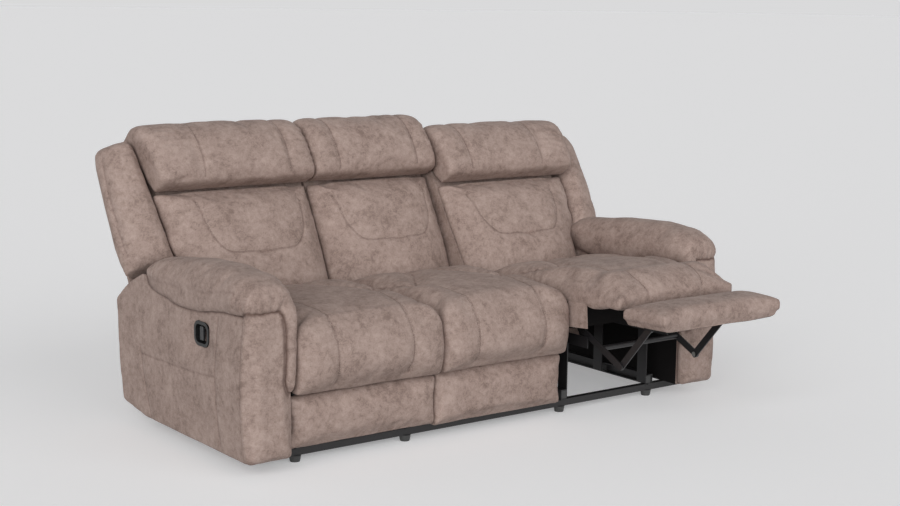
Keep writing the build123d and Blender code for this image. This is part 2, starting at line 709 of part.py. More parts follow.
def middle_frame_outline():
    """Side outline of the fixed seat's frame: a deck, a runner on both rails and a post under the back."""
    rear_rail = rail_rear_y + RAIL_SIZE / 2
    runner_top = rail_top + RUNNER
    cover_low = back_point(COVER_BOTTOM, FRAME_REAR)
    post_front = back_point(FRAME_BOTTOM, FRAME_FRONT)
    deck_rear = SEAT_FRONT_Y + SEAT_FRAME_DEPTH
    return [(SEAT_FRONT_Y, rail_top), (rear_rail, rail_top), (rear_rail, runner_top),
            (cover_low[0] - 2 * COVER, runner_top), back_point(FRAME_BOTTOM, FRAME_REAR - COVER), post_front,
            (deck_rear, post_front[1]), (deck_rear, DECK_TOP), (SEAT_FRONT_Y, DECK_TOP)]


def make_middle():
    """Fixed middle seat and back."""
    w = mid_half
    nodes["middle_seat_frame"] = slab(middle_frame_outline(), -w + 4, w - 4)
    nodes["middle_seat_cushion"] = seat_cushion(-w + 1, w - 1, fixed=True)
    front = knee[0] + 15
    nodes["middle_front_panel"] = padded_board(-w + 1, w - 1, front, SEAT_FRONT_Y, rail_top + 10,
                                               knee[1] + 1, OTTOMAN_CROWN)
    frame_edge = w - 6
    nodes["middle_back_frame"] = back_frame(-frame_edge, frame_edge, frame_edge)
    nodes["middle_back_cushion"] = back_cushion(-w + 1, w - 1, w - 1)
    nodes["middle_headrest"] = headrest(-w + 1, w - 1)
    edge = w - 2
    nodes["middle_back_cover"] = up_the_back([(-edge, COVER_BOTTOM), (edge, COVER_BOTTOM), (edge, cover_top),
                                              (-edge, cover_top)], FRAME_REAR, COVER)


def make_carriage(side):
    """Moving seat: side plates on nylon shoes, and a frame with its cushion on the recline pivots."""
    name = NAME[side]
    plates = []
    shoes = []
    rail_low = frame_bottom - SIDE_RAIL_HEIGHT
    shoe_low = rail_top + TRACK_WALL + SHOE_CLEARANCE
    shoe_high = rail_top + TRACK_HEIGHT - TRACK_WALL - SHOE_CLEARANCE
    for offset in (-1, 1):
        x0 = side * seat_mid + offset * plate_in
        x1 = x0 + offset * PLATE
        plate = block(*sorted((x0, x1)), SEAT_FRONT_Y + 6, recline_y - 6, rail_low, frame_bottom)
        plate += block(*sorted((x0, x1)), FRONT_LEG_Y, FRONT_LEG_Y + LEG_WIDTH, shoe_low, frame_bottom)
        plate += block(*sorted((x0, x1)), rear_leg_y, rear_leg_y + LEG_WIDTH, shoe_low, frame_bottom)
        plate += bar(recline, (recline_y - 15, frame_bottom - 12), LUG - 1, x0, x1)
        shelf_front = SEAT_FRONT_Y + SHELF_SETBACK
        plate += block(*sorted((x0, x0 - offset * 16)), shelf_front, SEAT_FRONT_Y + SEAT_FRAME_DEPTH,
                       frame_bottom - PLATE, frame_bottom)
        for y in (FRONT_LEG_Y, rear_leg_y):
            shoe_end = side * seat_mid + offset * (TRACK_OFFSET + TRACK_WIDTH - TRACK_WALL - SHOE_CLEARANCE)
            shoes.append(block(*sorted((x1, shoe_end)), y, y + SHOE_LENGTH, shoe_low, shoe_high))
        outer = x1 + offset * (2 * PLATE_GAP + 2 * PLATE + HEAD_GAP)
        hub = x0 - offset * (PLATE_GAP + PLATE + HEAD_GAP)
        plates.append(plate + rivet(recline, x1, outer, offset) + rivet(recline, x0, hub, -offset))
    frame_half = SEAT_WIDTH / 2 - SEAT_SIDE_INSET
    middle = side * seat_mid
    rear = SEAT_FRONT_Y + SEAT_FRAME_DEPTH
    frame = block(middle - frame_half, middle + frame_half, SEAT_FRONT_Y, rear, frame_bottom, DECK_TOP)
    for offset in (-1, 1):
        e0 = middle + offset * ear_in
        e1 = e0 + offset * PLATE
        frame += bar(recline, (rear - LEG_WIDTH, RECLINE_Z - LUG), LUG - 1, e0, e1)
        frame += bar(pivot, (PIVOT_Y, DECK_TOP - SEAT_FRAME_HEIGHT / 2), LINK_HALF, e0, e1)
        frame += rivet(pivot, e0, middle + offset * (drive_in - HEAD_GAP), -offset)
        frame -= disc(*recline, PIN_RADIUS + PIN_CLEARANCE, e0 - offset, e1 + offset)
    place = carriage_place(side)
    tipped = pan_place(side)
    nodes[name + "_side_plates"] = [place * plate for plate in plates]
    nodes[name + "_glide_shoes"] = [place * shoe for shoe in shoes]
    nodes[name + "_seat_frame"] = tipped * frame
    cushion = seat_cushion(side * (seat_in + 1), side * (seat_out - 1), fixed=False)
    nodes[name + "_seat_cushion"] = tipped * cushion


def make_footrest(side):
    """Chaise pad, padded footrest board, and the links that carry it."""
    name = NAME[side]
    x0 = side * (seat_in + 1)
    x1 = side * (seat_out - 1)
    sections = [chaise_face(x, bulge) for x, bulge in across(x0, x1, PAD_BULGE, -5.0, PAD_BULGE * 0.45)]
    nodes[name + "_chaise_pad"] = chaise_place(side) * loft(sections, ruled=True)

    place = ottoman_place(side)
    top = knee[1] - PAD_END_GAP
    bottom = knee[1] - OTTOMAN_LENGTH
    pad_rear = knee[0] + OTTOMAN_PAD
    board_rear = pad_rear + OTTOMAN_BOARD
    pad = padded_board(x0, x1, knee[0] + 10, pad_rear, bottom, top, OTTOMAN_CROWN)
    board = block(*sorted((x0 + side * 14, x1 - side * 14)), pad_rear, board_rear, bottom + 8, top - 6)
    nodes[name + "_ottoman_pad"] = place * pad
    nodes[name + "_ottoman_board"] = place * board

    opened = OPEN[side]
    pin = (knee[0] + BRACKET_BACK, knee[1] - BRACKET_DOWN)
    q = elbow_pin(opened)
    r = bracket_pin(opened)
    brackets = []
    drives = []
    lifts = []
    middle = side * seat_mid
    for offset in (-1, 1):
        b0 = middle + offset * bracket_in
        b1 = b0 + offset * LINK
        low = pin[1] - BRACKET_HALF
        high = pin[1] + BRACKET_HALF
        ear = block(*sorted((b0, b1)), board_rear, pin[0], low, high)
        ear += disc(*pin, LINK_HALF, b0, b1)
        ear += block(*sorted((b0, b0 - offset * FLANGE)), board_rear, board_rear + PLATE, low, high)
        ear -= disc(*pin, PIN_RADIUS + OPEN_PIN_CLEARANCE, b0 - offset, b1 + offset)
        brackets.append(place * ear)
        d0 = middle + offset * drive_in
        d1 = d0 + offset * LINK
        drive = bar(pivot, q, LINK_HALF, d0, d1)
        drive -= disc(*pivot, PIN_RADIUS + PIN_CLEARANCE, d0 - offset, d1 + offset)
        l0 = middle + offset * lift_in
        l1 = l0 + offset * LINK
        drive += rivet(q, d0, l0 - offset * HEAD_GAP, -offset)
        drives.append(drive)
        lift = bar(q, r, LINK_HALF, l0, l1)
        lift -= disc(*q, PIN_RADIUS + PIN_CLEARANCE, l0 - offset, l1 + offset)
        lift += rivet(r, l0, b0 - offset * HEAD_GAP, -offset)
        lifts.append(lift)
    half_way = ((pivot[0] + q[0]) / 2, (pivot[1] + q[1]) / 2)
    tube = disc(*half_way, TUBE_SIZE / 2, middle - drive_in, middle + drive_in)
    move = pan_place(side)
    nodes[name + "_ottoman_brackets"] = brackets
    nodes[name + "_drive_links"] = [move * drive for drive in drives]
    nodes[name + "_drive_tube"] = move * tube
    nodes[name + "_lift_links"] = [move * lift for lift in lifts]


def make_back(side):
    """Reclining back: frame, cranks, ears, cushion, headrest, wing and outside cover."""
    name = NAME[side]
    place = back_place(side)
    x0 = side * (seat_in + 1)
    low = side * back_low_out
    high = side * back_high_out
    pieces = {}
    pieces["back_frame"] = back_frame(side * (seat_in + 3), side * (back_low_out - 2), high)
    pieces["back_cushion"] = back_cushion(x0, low, high)
    pieces["headrest"] = headrest(x0, side * (back_high_out + 8)) - wing_block(side)
    pieces["wing"] = wing(side)
    edge = side * (seat_in + 2)
    outside = [(edge, COVER_BOTTOM), (low, COVER_BOTTOM), (low, WING_LOW), (side * wing_out, WING_LOW + 30),
               (side * wing_out, wing_top - 20), (side * (wing_out - 60), cover_top), (edge, cover_top)]
    pieces["back_cover"] = up_the_back(outside, FRAME_REAR, COVER)
    for key, shape in pieces.items():
        nodes[name + "_" + key] = place * shape
    cranks = []
    ears = []
    crank_end = (recline_y - CRANK_FORWARD, RECLINE_Z - CRANK_DOWN)
    for offset in (-1, 1):
        c0 = side * seat_mid + offset * (plate_in + PLATE + PLATE_GAP)
        c1 = c0 + offset * PLATE
        crank = bar(recline, crank_end, CRANK_HALF, c0, c1) + disc(*recline, LUG, c0, c1)
        crank -= disc(*recline, PIN_RADIUS + PIN_CLEARANCE, c0 - offset, c1 + offset)
        cranks.append(place * crank)
        ears.append(place * back_ear(c1 + offset * PLATE_GAP, offset))
    nodes[name + "_tilt_cranks"] = cranks
    nodes[name + "_back_ears"] = ears


def back_ear(x0, offset):
    """Plate on the recline pivot with a flange on the front of the back's timber core."""
    x1 = x0 + offset * PLATE
    low = FRAME_BOTTOM + 2
    face = FRAME_FRONT
    ear = slab([back_point(EAR_HIGH, LUG / 2), back_point(EAR_HIGH, face), back_point(low, face),
                back_point(low, LUG / 2)], x0, x1)
    ear += disc(*recline, LUG, x0, x1)
    ear += slab([back_point(EAR_HIGH, face - PLATE), back_point(EAR_HIGH, face), back_point(low, face),
                 back_point(low, face - PLATE)], x1, x1 + offset * FLANGE)
    return ear - disc(*recline, PIN_RADIUS + PIN_CLEARANCE, x0 - offset, x1 + offset)


def wing_block(side):
    """Room that the wing takes beside the headrest."""
    edge = side * (back_high_out + 0.5)
    low = HEAD_SEAM - 60
    high = wing_top + 6
    deep = FRAME_REAR + 35
    return slab([back_point(low, FRAME_FRONT), back_point(high, FRAME_FRONT), back_point(high, deep),
                 back_point(low, deep)], edge, edge + side * 40)


def carriage_place(side):
    """Where a moving seat stands."""
    return Pos(0, -TRAVEL * OPEN[side], 0)


def pan_place(side):
    """Where a seat's frame and cushion lie: its front rises as the seat opens."""
    return carriage_place(side) * turn(recline, SEAT_TILT * OPEN[side])


def chaise_place(side):
    """Where a chaise pad hangs or reaches out."""
    return pan_place(side) * turn(hinge, CHAISE_TURN * OPEN[side])


def ottoman_place(side):
    """Where a footrest board hangs or reaches out."""
    return chaise_place(side) * turn(knee, -OTTOMAN_TUCK + OTTOMAN_TURN * OPEN[side])


def back_place(side):
    """Where a reclining back stands."""
    return carriage_place(side) * turn(recline, BACK_TILT * OPEN[side])


make_base()
make_middle()
for side in (-1, 1):
    make_arm(side)
    make_carriage(side)
    make_footrest(side)
    make_back(side)

# The origin is on the floor under the middle of the whole outline
solids = []
for shape in nodes.values():
    solids += shape if isinstance(shape, list) else [shape]
outer_box = Compound(children=[Compound(s.solids()) for s in solids]).bounding_box()
origin_y = (outer_box.min.Y + outer_box.max.Y) / 2

for node, shape in nodes.items():
    pieces = shape if isinstance(shape, list) else [shape]
    moved = [Pos(0, -origin_y, 0) * solid for piece in pieces for solid in piece.solids()]
    export_step(Compound(moved) if len(moved) > 1 else moved[0], "parts/" + node + ".step")
print(len(nodes), "nodes; origin", round(origin_y, 3), "behind the front line; box", outer_box.size)
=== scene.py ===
# %% [markdown]
# # A three-seat reclining sofa
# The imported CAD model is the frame: it gives every piece its size, its place and the body that it moves with.
# Blender adds what the solids leave plain: stuffed cushions with sewn lines, mottled suede-like cloth,
# thread, black lacquered links with zinc rivet heads, and studio light.

# %% Load the frame
import math

import bpy
import numpy as np
from mathutils import Matrix, Vector, noise
from mathutils.bvhtree import BVHTree
from mathutils.kdtree import KDTree


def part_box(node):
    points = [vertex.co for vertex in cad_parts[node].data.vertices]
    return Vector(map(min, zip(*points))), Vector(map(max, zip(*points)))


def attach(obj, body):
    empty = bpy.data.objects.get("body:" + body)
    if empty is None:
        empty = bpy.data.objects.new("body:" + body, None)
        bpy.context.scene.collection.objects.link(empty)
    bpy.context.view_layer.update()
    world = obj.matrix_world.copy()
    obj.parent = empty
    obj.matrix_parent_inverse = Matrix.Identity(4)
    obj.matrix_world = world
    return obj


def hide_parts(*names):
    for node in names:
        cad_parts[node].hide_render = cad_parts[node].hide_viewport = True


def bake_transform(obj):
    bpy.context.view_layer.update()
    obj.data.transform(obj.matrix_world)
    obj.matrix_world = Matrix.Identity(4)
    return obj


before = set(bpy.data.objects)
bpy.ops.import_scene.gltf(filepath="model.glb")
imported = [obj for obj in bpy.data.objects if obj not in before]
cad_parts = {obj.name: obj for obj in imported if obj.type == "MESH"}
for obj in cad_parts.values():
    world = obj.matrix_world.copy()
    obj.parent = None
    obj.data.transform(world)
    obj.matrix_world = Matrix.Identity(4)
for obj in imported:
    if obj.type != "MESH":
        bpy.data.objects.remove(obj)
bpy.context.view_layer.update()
scene = bpy.context.scene

# %% [markdown]
# Sewn lines are easiest to place in the sofa's own measures: millimetres from the middle, from the line 12 mm
# ahead of the arm boxes, and from the floor. The right seat stands forward with its footrest out and its back
# tilted, so a point of that seat is carried along in the same way before it is turned into metres.

# %% Places on the sofa
UNITS = ("left", "middle", "right")
SEAT_MIDDLE = {"left": -579.5, "middle": 0.0, "right": 579.5}
OPENED = {"left": 0.0, "middle": 0.0, "right": 1.0}
TRAVEL = 130.0
HINGE = (5.0, 420.0)
RECLINE = (605.0, 370.0)
SEAT_TILT = 5.0
CHAISE_TURN = 81.0
BACK_TILT = 6.0
BACK_LEAN = math.radians(27.0)
FRONT_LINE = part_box("left_arm_body")[0].y - 0.012


def place(x, y, z):
    """Point of the frame, in metres, from the sofa's own millimetres."""
    return Vector((x / 1000, y / 1000 + FRONT_LINE, z / 1000))


def turned(y, z, pivot, angle):
    """Side-view point after a turn about a pivot, forwards and up for what hangs."""
    a = math.radians(angle)
    dy = y - pivot[0]
    dz = z - pivot[1]
    return pivot[0] + dy * math.cos(a) + dz * math.sin(a), pivot[1] - dy * math.sin(a) + dz * math.cos(a)


def slid(unit, across, y, z):
    """Point that moves along with a seat's carriage, from the seat's own middle."""
    return place(SEAT_MIDDLE[unit] + across, y - TRAVEL * OPENED[unit], z)


def on_seat(unit, across, y, z):
    """Point of a seat, whose front rises as it opens."""
    return slid(unit, across, *turned(y, z, RECLINE, SEAT_TILT * OPENED[unit]))


def on_chaise(unit, across, y, z):
    """Point of the pad that hangs in front of a closed seat."""
    return on_seat(unit, across, *turned(y, z, HINGE, CHAISE_TURN * OPENED[unit]))


def on_back(unit, across, along, behind):
    """Point of a back from its distances up the slope and behind the slope's line."""
    y = RECLINE[0] + along * math.sin(BACK_LEAN) + behind * math.cos(BACK_LEAN)
    z = RECLINE[1] + along * math.cos(BACK_LEAN) - behind * math.sin(BACK_LEAN)
    return slid(unit, across, *turned(y, z, RECLINE, BACK_TILT * OPENED[unit]))


print("front line at y =", round(FRONT_LINE, 4))

# %% [markdown]
# The camera comes first, so that every render can be laid beside the photograph. Its place and angles were
# fitted to the sofa's corners, and the lens follows from the focal length in pixels of the picture.

# %% Camera
CAMERA_PLACE = (-3455.1, -4272.8, 1523.9)
CAMERA_YAW = math.radians(36.91)
CAMERA_PITCH = math.radians(9.087)
CAMERA_ROLL = math.radians(0.74)
FOCAL_PIXELS = 1579.2
FRAME_WIDTH = 900
SENSOR = 36.0

camera_data = bpy.data.cameras.new("photo_camera")
camera_data.sensor_width = SENSOR
camera_data.lens = FOCAL_PIXELS * SENSOR / FRAME_WIDTH
camera = bpy.data.objects.new("photo_camera", camera_data)
scene.collection.objects.link(camera)
look = Vector((math.sin(CAMERA_YAW) * math.cos(CAMERA_PITCH), math.cos(CAMERA_YAW) * math.cos(CAMERA_PITCH),
               -math.sin(CAMERA_PITCH)))
level = Vector((math.cos(CAMERA_YAW), -math.sin(CAMERA_YAW), 0.0))
upright = level.cross(look)
right_hand = level * math.cos(CAMERA_ROLL) + upright * math.sin(CAMERA_ROLL)
overhead = upright * math.cos(CAMERA_ROLL) - level * math.sin(CAMERA_ROLL)
turn = Matrix((right_hand, overhead, -look)).transposed().to_4x4()
camera.matrix_world = Matrix.Translation(place(*CAMERA_PLACE)) @ turn
scene.camera = camera
print("lens", round(camera_data.lens, 2), "mm")

# %% [markdown]
# The photograph was taken in a white studio with its light low and in front: upright faces are brighter than
# tops. Two broad, soft suns from the front do the same and light the whole floor alike, and the world adds a
# fill that is bright near the horizon and dim overhead. The floor is one pale sheet that keeps the sofa's
# soft shadow and runs into a background of the same tone.

# %% Studio
SUNS = {"left_light": ((-0.72, -0.61, 0.32), 1.95), "right_light": ((0.22, -0.91, 0.35), 0.85)}
SUN_SPREAD = math.radians(55)
SKY_LOW = 0.66
SKY_HIGH = 0.04
FLOOR_BOUNCE = 0.62
FLOOR_GREY = 0.80
FLOOR_GLOW = 0.27
BACKGROUND = 0.70


def direct_view(tree):
    """One for rays that the camera sees straight, in gloss or through glass, else zero."""
    path = tree.nodes.new("ShaderNodeLightPath")
    seen = path.outputs["Is Camera Ray"]
    for kind in ("Is Glossy Ray", "Is Transmission Ray"):
        either = tree.nodes.new("ShaderNodeMath")
        either.operation = "MAXIMUM"
        tree.links.new(seen, either.inputs[0])
        tree.links.new(path.outputs[kind], either.inputs[1])
        seen = either.outputs[0]
    return seen


for name, (comes_from, power) in SUNS.items():
    sun_data = bpy.data.lights.new(name, "SUN")
    sun_data.energy = power
    sun_data.angle = SUN_SPREAD
    sun = bpy.data.objects.new(name, sun_data)
    sun.rotation_euler = (-Vector(comes_from)).to_track_quat("-Z", "Y").to_euler()
    scene.collection.objects.link(sun)

world = bpy.data.worlds.new("studio") if scene.world is None else scene.world
scene.world = world
world.use_nodes = True
sky = world.node_tree
sky.nodes.clear()
heights = sky.nodes.new("ShaderNodeSeparateXYZ")
sky.links.new(sky.nodes.new("ShaderNodeTexCoord").outputs["Generated"], heights.inputs[0])
fade = sky.nodes.new("ShaderNodeMapRange")
fade.inputs["To Min"].default_value = SKY_LOW
fade.inputs["To Max"].default_value = SKY_HIGH
sky.links.new(heights.outputs["Z"], fade.inputs["Value"])
fill_light = sky.nodes.new("ShaderNodeBackground")
fill_light.inputs["Color"].default_value = (1.0, 1.0, 1.0, 1.0)
sky.links.new(fade.outputs["Result"], fill_light.inputs["Strength"])
backdrop = sky.nodes.new("ShaderNodeBackground")
backdrop.inputs["Color"].default_value = (BACKGROUND, BACKGROUND, BACKGROUND * 1.01, 1.0)
chosen = sky.nodes.new("ShaderNodeMixShader")
sky.links.new(direct_view(sky), chosen.inputs["Fac"])
sky.links.new(fill_light.outputs[0], chosen.inputs[1])
sky.links.new(backdrop.outputs[0], chosen.inputs[2])
sky.links.new(chosen.outputs[0], sky.nodes.new("ShaderNodeOutputWorld").inputs["Surface"])
scene.view_settings.view_transform = "Standard"

bpy.ops.object.select_all(action="DESELECT")
bpy.ops.mesh.primitive_grid_add(x_subdivisions=8, y_subdivisions=8, size=400.0, location=(0.0, 0.0, 0.0))
floor = bpy.context.active_object
floor.name = "studio_floor"
paper = bpy.data.materials.new("studio_paper")
paper.use_nodes = True
sheet = paper.node_tree
sheet.nodes.clear()
bounce = sheet.nodes.new("ShaderNodeBsdfDiffuse")
bounce.inputs["Color"].default_value = (FLOOR_BOUNCE, FLOOR_BOUNCE, FLOOR_BOUNCE, 1.0)
pale = sheet.nodes.new("ShaderNodeBsdfDiffuse")
pale.inputs["Color"].default_value = (FLOOR_GREY, FLOOR_GREY, FLOOR_GREY * 1.01, 1.0)
glow = sheet.nodes.new("ShaderNodeEmission")
glow.inputs["Color"].default_value = (FLOOR_GLOW, FLOOR_GLOW, FLOOR_GLOW * 1.01, 1.0)
lit = sheet.nodes.new("ShaderNodeAddShader")
sheet.links.new(pale.outputs[0], lit.inputs[0])
sheet.links.new(glow.outputs[0], lit.inputs[1])
either = sheet.nodes.new("ShaderNodeMixShader")
sheet.links.new(direct_view(sheet), either.inputs["Fac"])
sheet.links.new(bounce.outputs[0], either.inputs[1])
sheet.links.new(lit.outputs[0], either.inputs[2])
sheet.links.new(either.outputs[0], sheet.nodes.new("ShaderNodeOutputMaterial").inputs["Surface"])
floor.data.materials.append(paper)
print("studio ready")

# %% [markdown]
# The cover is a suede-like cloth printed with soft darker clouds, with a fine nap and a dull sheen. Noise at
# three scales gives it: palm-sized clouds, thumb-sized flecks and the nap itself, which also drives the bump.
# An attribute painted on each cushion later darkens its sewn lines and creases with painted shade.

# %% Cloth material
CLOUD_SCALE = 11.0
FLECK_SCALE = 52.0
GRAIN_SCALE = 210.0
NAP_SCALE = 900.0
PORE_SCALE = 520.0
FLECK_SHARE = 0.55
GRAIN_SHARE = 0.26
MOTTLE_STOPS = (0.40, 0.495, 0.60)
# Colour that the painted shade of sewn lines and creases multiplies in.
SEAM_SHADE = (0.36, 0.30, 0.28)
SUEDE_DARK = (0.228, 0.162, 0.137)
SUEDE_MIDDLE = (0.345, 0.256, 0.222)
SUEDE_LIGHT = (0.435, 0.332, 0.292)


def add(tree, kind, **sockets):
    """New shader node with some of its sockets set."""
    made = tree.nodes.new(kind)
    for name, value in sockets.items():
        made.inputs[name.replace("_", " ")].default_value = value
    return made


def blank_material(name):
    """Material with an empty principled shader, its tree and that shader."""
    made = bpy.data.materials.new(name)
    made.use_nodes = True
    return made, made.node_tree, made.node_tree.nodes["Principled BSDF"]


def ramp(tree, source, stops):
    """Colour ramp on a value, from (place, colour) pairs."""
    made = tree.nodes.new("ShaderNodeValToRGB")
    for element, (at, colour) in zip(made.color_ramp.elements, (stops[0], stops[-1])):
        element.position = at
        element.color = (*colour, 1.0)
    for at, colour in stops[1:-1]:
        made.color_ramp.elements.new(at).color = (*colour, 1.0)
    tree.links.new(source, made.inputs["Fac"])
    return made.outputs["Color"]


def blend_values(tree, first, second, share):
    """Weighted mean of two values."""
    made = tree.nodes.new("ShaderNodeMix")
    made.inputs["Factor"].default_value = share
    tree.links.new(first, made.inputs["A"])
    tree.links.new(second, made.inputs["B"])
    return made.outputs["Result"]


def tinted(tree, colour, factor, shade):
    """Colour multiplied by a shade, as far as a linked factor says."""
    made = tree.nodes.new("ShaderNodeMix")
    made.data_type = "RGBA"
    made.blend_type = "MULTIPLY"
    tree.links.new(factor, made.inputs["Factor"])
    tree.links.new(colour, made.inputs["A"])
    made.inputs["B"].default_value = (*shade, 1.0)
    return made.outputs["Result"]


def suede(name, colours):
    """Mottled suede-like cloth, from its dark, middle and light colours."""
    made, tree, shader = blank_material(name)
    spot = tree.nodes.new("ShaderNodeTexCoord").outputs["Object"]
    clouds = add(tree, "ShaderNodeTexNoise", Scale=CLOUD_SCALE, Detail=5.0, Roughness=0.6, Distortion=0.5)
    flecks = add(tree, "ShaderNodeTexNoise", Scale=FLECK_SCALE, Detail=6.0, Roughness=0.7, Distortion=0.4)
    grain = add(tree, "ShaderNodeTexNoise", Scale=GRAIN_SCALE, Detail=4.0, Roughness=0.7)
    nap = add(tree, "ShaderNodeTexNoise", Scale=NAP_SCALE, Detail=3.0, Roughness=0.6)
    pores = add(tree, "ShaderNodeTexVoronoi", Scale=PORE_SCALE)
    for texture in (clouds, flecks, grain, nap, pores):
        tree.links.new(spot, texture.inputs["Vector"])
    mottle = blend_values(tree, clouds.outputs["Fac"], flecks.outputs["Fac"], FLECK_SHARE)
    mottle = blend_values(tree, mottle, grain.outputs["Fac"], GRAIN_SHARE)
    colour = ramp(tree, mottle, list(zip(MOTTLE_STOPS, colours)))
    # The seam attribute holds painted shade for sewn lines and creases, multiplied in with SEAM_SHADE.
    seam = tree.nodes.new("ShaderNodeAttribute")
    seam.attribute_name = "seam"
    colour = tinted(tree, colour, seam.outputs["Fac"], SEAM_SHADE)
    tree.links.new(colour, shader.inputs["Base Color"])
    gloss = tree.nodes.new("ShaderNodeMapRange")
    gloss.inputs["To Min"].default_value = 0.58
    gloss.inputs["To Max"].default_value = 0.84
    tree.links.new(flecks.outputs["Fac"], gloss.inputs["Value"])
    tree.links.new(gloss.outputs["Result"], shader.inputs["Roughness"])
    fine = add(tree, "ShaderNodeBump", Strength=0.25, Distance=0.0006)
    tree.links.new(nap.outputs["Fac"], fine.inputs["Height"])
    hide = add(tree, "ShaderNodeBump", Strength=0.25, Distance=0.0010)
    tree.links.new(pores.outputs["Distance"], hide.inputs["Height"])
    tree.links.new(fine.outputs["Normal"], hide.inputs["Normal"])
    soft = add(tree, "ShaderNodeBump", Strength=0.22, Distance=0.005)
    tree.links.new(flecks.outputs["Fac"], soft.inputs["Height"])
    tree.links.new(hide.outputs["Normal"], soft.inputs["Normal"])
    tree.links.new(soft.outputs["Normal"], shader.inputs["Normal"])
    shader.inputs["Sheen Weight"].default_value = 0.04
    shader.inputs["Sheen Roughness"].default_value = 0.5
    shader.inputs["Specular IOR Level"].default_value = 0.22
    return made


cover_cloth = suede("taupe_suede_cloth", (SUEDE_DARK, SUEDE_MIDDLE, SUEDE_LIGHT))
print("cloth:", cover_cloth.name)

# %% [markdown]
# The other finishes are plain factory ones: black woven lining, semi-gloss lacquer on the steel, zinc on the
# rivets, and moulded plastic with a fine spark texture. Each has its own noise, so that no surface is one
# flat colour.

# %% Other materials


def factory_finish(name, colour, rough, grain, scale, metal=0.0, stretch=(1.0, 1.0, 1.0), spread=0.25,
                   shine=0.5):
    """Plain finish: a colour that varies a little, and a grain in its gloss and bump."""
    made, tree, shader = blank_material(name)
    spot = tree.nodes.new("ShaderNodeTexCoord").outputs["Object"]
    mapping = tree.nodes.new("ShaderNodeMapping")
    mapping.inputs["Scale"].default_value = stretch
    tree.links.new(spot, mapping.inputs["Vector"])
    speck = add(tree, "ShaderNodeTexNoise", Scale=scale, Detail=5.0, Roughness=0.65)
    tree.links.new(mapping.outputs["Vector"], speck.inputs["Vector"])
    lowest = [c * (1 - spread) for c in colour]
    highest = [c * (1 + spread) for c in colour]
    colours = ramp(tree, speck.outputs["Fac"], [(0.3, lowest), (0.7, highest)])
    tree.links.new(colours, shader.inputs["Base Color"])
    gloss = tree.nodes.new("ShaderNodeMapRange")
    gloss.inputs["To Min"].default_value = rough - 0.08
    gloss.inputs["To Max"].default_value = rough + 0.12
    tree.links.new(speck.outputs["Fac"], gloss.inputs["Value"])
    tree.links.new(gloss.outputs["Result"], shader.inputs["Roughness"])
    bump = add(tree, "ShaderNodeBump", Strength=grain, Distance=0.0004)
    tree.links.new(speck.outputs["Fac"], bump.inputs["Height"])
    tree.links.new(bump.outputs["Normal"], shader.inputs["Normal"])
    shader.inputs["Metallic"].default_value = metal
    shader.inputs["Specular IOR Level"].default_value = shine
    return made


lining_cloth = factory_finish("black_lining", (0.009, 0.008, 0.008), 0.85, 0.5, 700.0,
                              stretch=(1.0, 0.3, 1.0), shine=0.12)
black_lacquer = factory_finish("black_lacquer", (0.017, 0.016, 0.017), 0.36, 0.12, 260.0)
zinc = factory_finish("zinc_plate", (0.62, 0.61, 0.58), 0.34, 0.1, 300.0, metal=1.0, spread=0.12)
nylon = factory_finish("black_nylon", (0.05, 0.05, 0.05), 0.5, 0.15, 300.0)
handle_plastic = factory_finish("handle_plastic", (0.007, 0.007, 0.007), 0.42, 0.12, 900.0)
lever_plastic = factory_finish("lever_plastic", (0.020, 0.020, 0.021), 0.36, 0.15, 900.0)
thread = factory_finish("cover_thread", (0.40, 0.31, 0.27), 0.6, 0.3, 1500.0)
print("finishes ready")

# %% [markdown]
# Most cushions start as a copy of their CAD solid, and headrests, wings and arm fronts from rings of points.
# Voxel remeshing gives a cushion an even net of small faces, smoothing rounds its edges, and Blender's cloth
# solver blows it up like a stuffed cover, with sewn lines held down on seats and headrests. What the solver
# moves is limited, so a cushion keeps its place, and seats, footrests and backs are pressed flat at their
# sides, where a neighbour stands.

# %% Stuffing tools
NET = 0.010
SIDE_SLACK = 0.001
# Width of the painted shade along a sewn line.
SEAM_SHADE_WIDTH = 0.0038


def only(piece):
    """Make one object the selected and active one."""
    bpy.ops.object.select_all(action="DESELECT")
    piece.select_set(True)
    bpy.context.view_layer.objects.active = piece


def apply_modifier(piece, kind, **settings):
    """Add a modifier, set it and apply it."""
    modifier = piece.modifiers.new(kind.lower(), kind)
    for key, value in settings.items():
        setattr(modifier, key, value)
    only(piece)
    bpy.ops.object.modifier_apply(modifier=modifier.name)


def ease(piece, rounds):
    """Smooth a piece's net, which rounds its edges."""
    apply_modifier(piece, "SMOOTH", factor=0.5, iterations=rounds)


def points(piece):
    """Vertex places as an array."""
    flat = np.empty(len(piece.data.vertices) * 3, np.float32)
    piece.data.vertices.foreach_get("co", flat)
    return flat.reshape(-1, 3).astype(float)


def normals(piece):
    """Vertex normals as an array."""
    flat = np.empty(len(piece.data.vertices) * 3, np.float32)
    piece.data.vertices.foreach_get("normal", flat)
    return flat.reshape(-1, 3).astype(float)


def put(piece, places):
    """Write vertex places back."""
    piece.data.vertices.foreach_set("co", places.astype(np.float32).ravel())
    piece.data.update()


def soft_copy(name, nodes, net=NET, rounds=6, extra=()):
    """Even, rounded copy of one or more CAD solids, with any extra forms joined in."""
    copies = []
    for node in nodes:
        copies.append(bpy.data.objects.new(name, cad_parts[node].data.copy()))
        scene.collection.objects.link(copies[-1])
    copies += list(extra)
    only(copies[0])
    for other in copies[1:]:
        other.select_set(True)
    if len(copies) > 1:
        bpy.ops.object.join()
    piece = copies[0]
    piece.name = name
    piece.data.name = name
    piece.data.materials.clear()
    bpy.ops.object.mode_set(mode="EDIT")
    bpy.ops.mesh.select_all(action="SELECT")
    bpy.ops.mesh.remove_doubles(threshold=0.00002)
    bpy.ops.object.mode_set(mode="OBJECT")
    piece.data.remesh_voxel_size = net
    bpy.ops.object.voxel_remesh()
    ease(piece, rounds)
    return piece


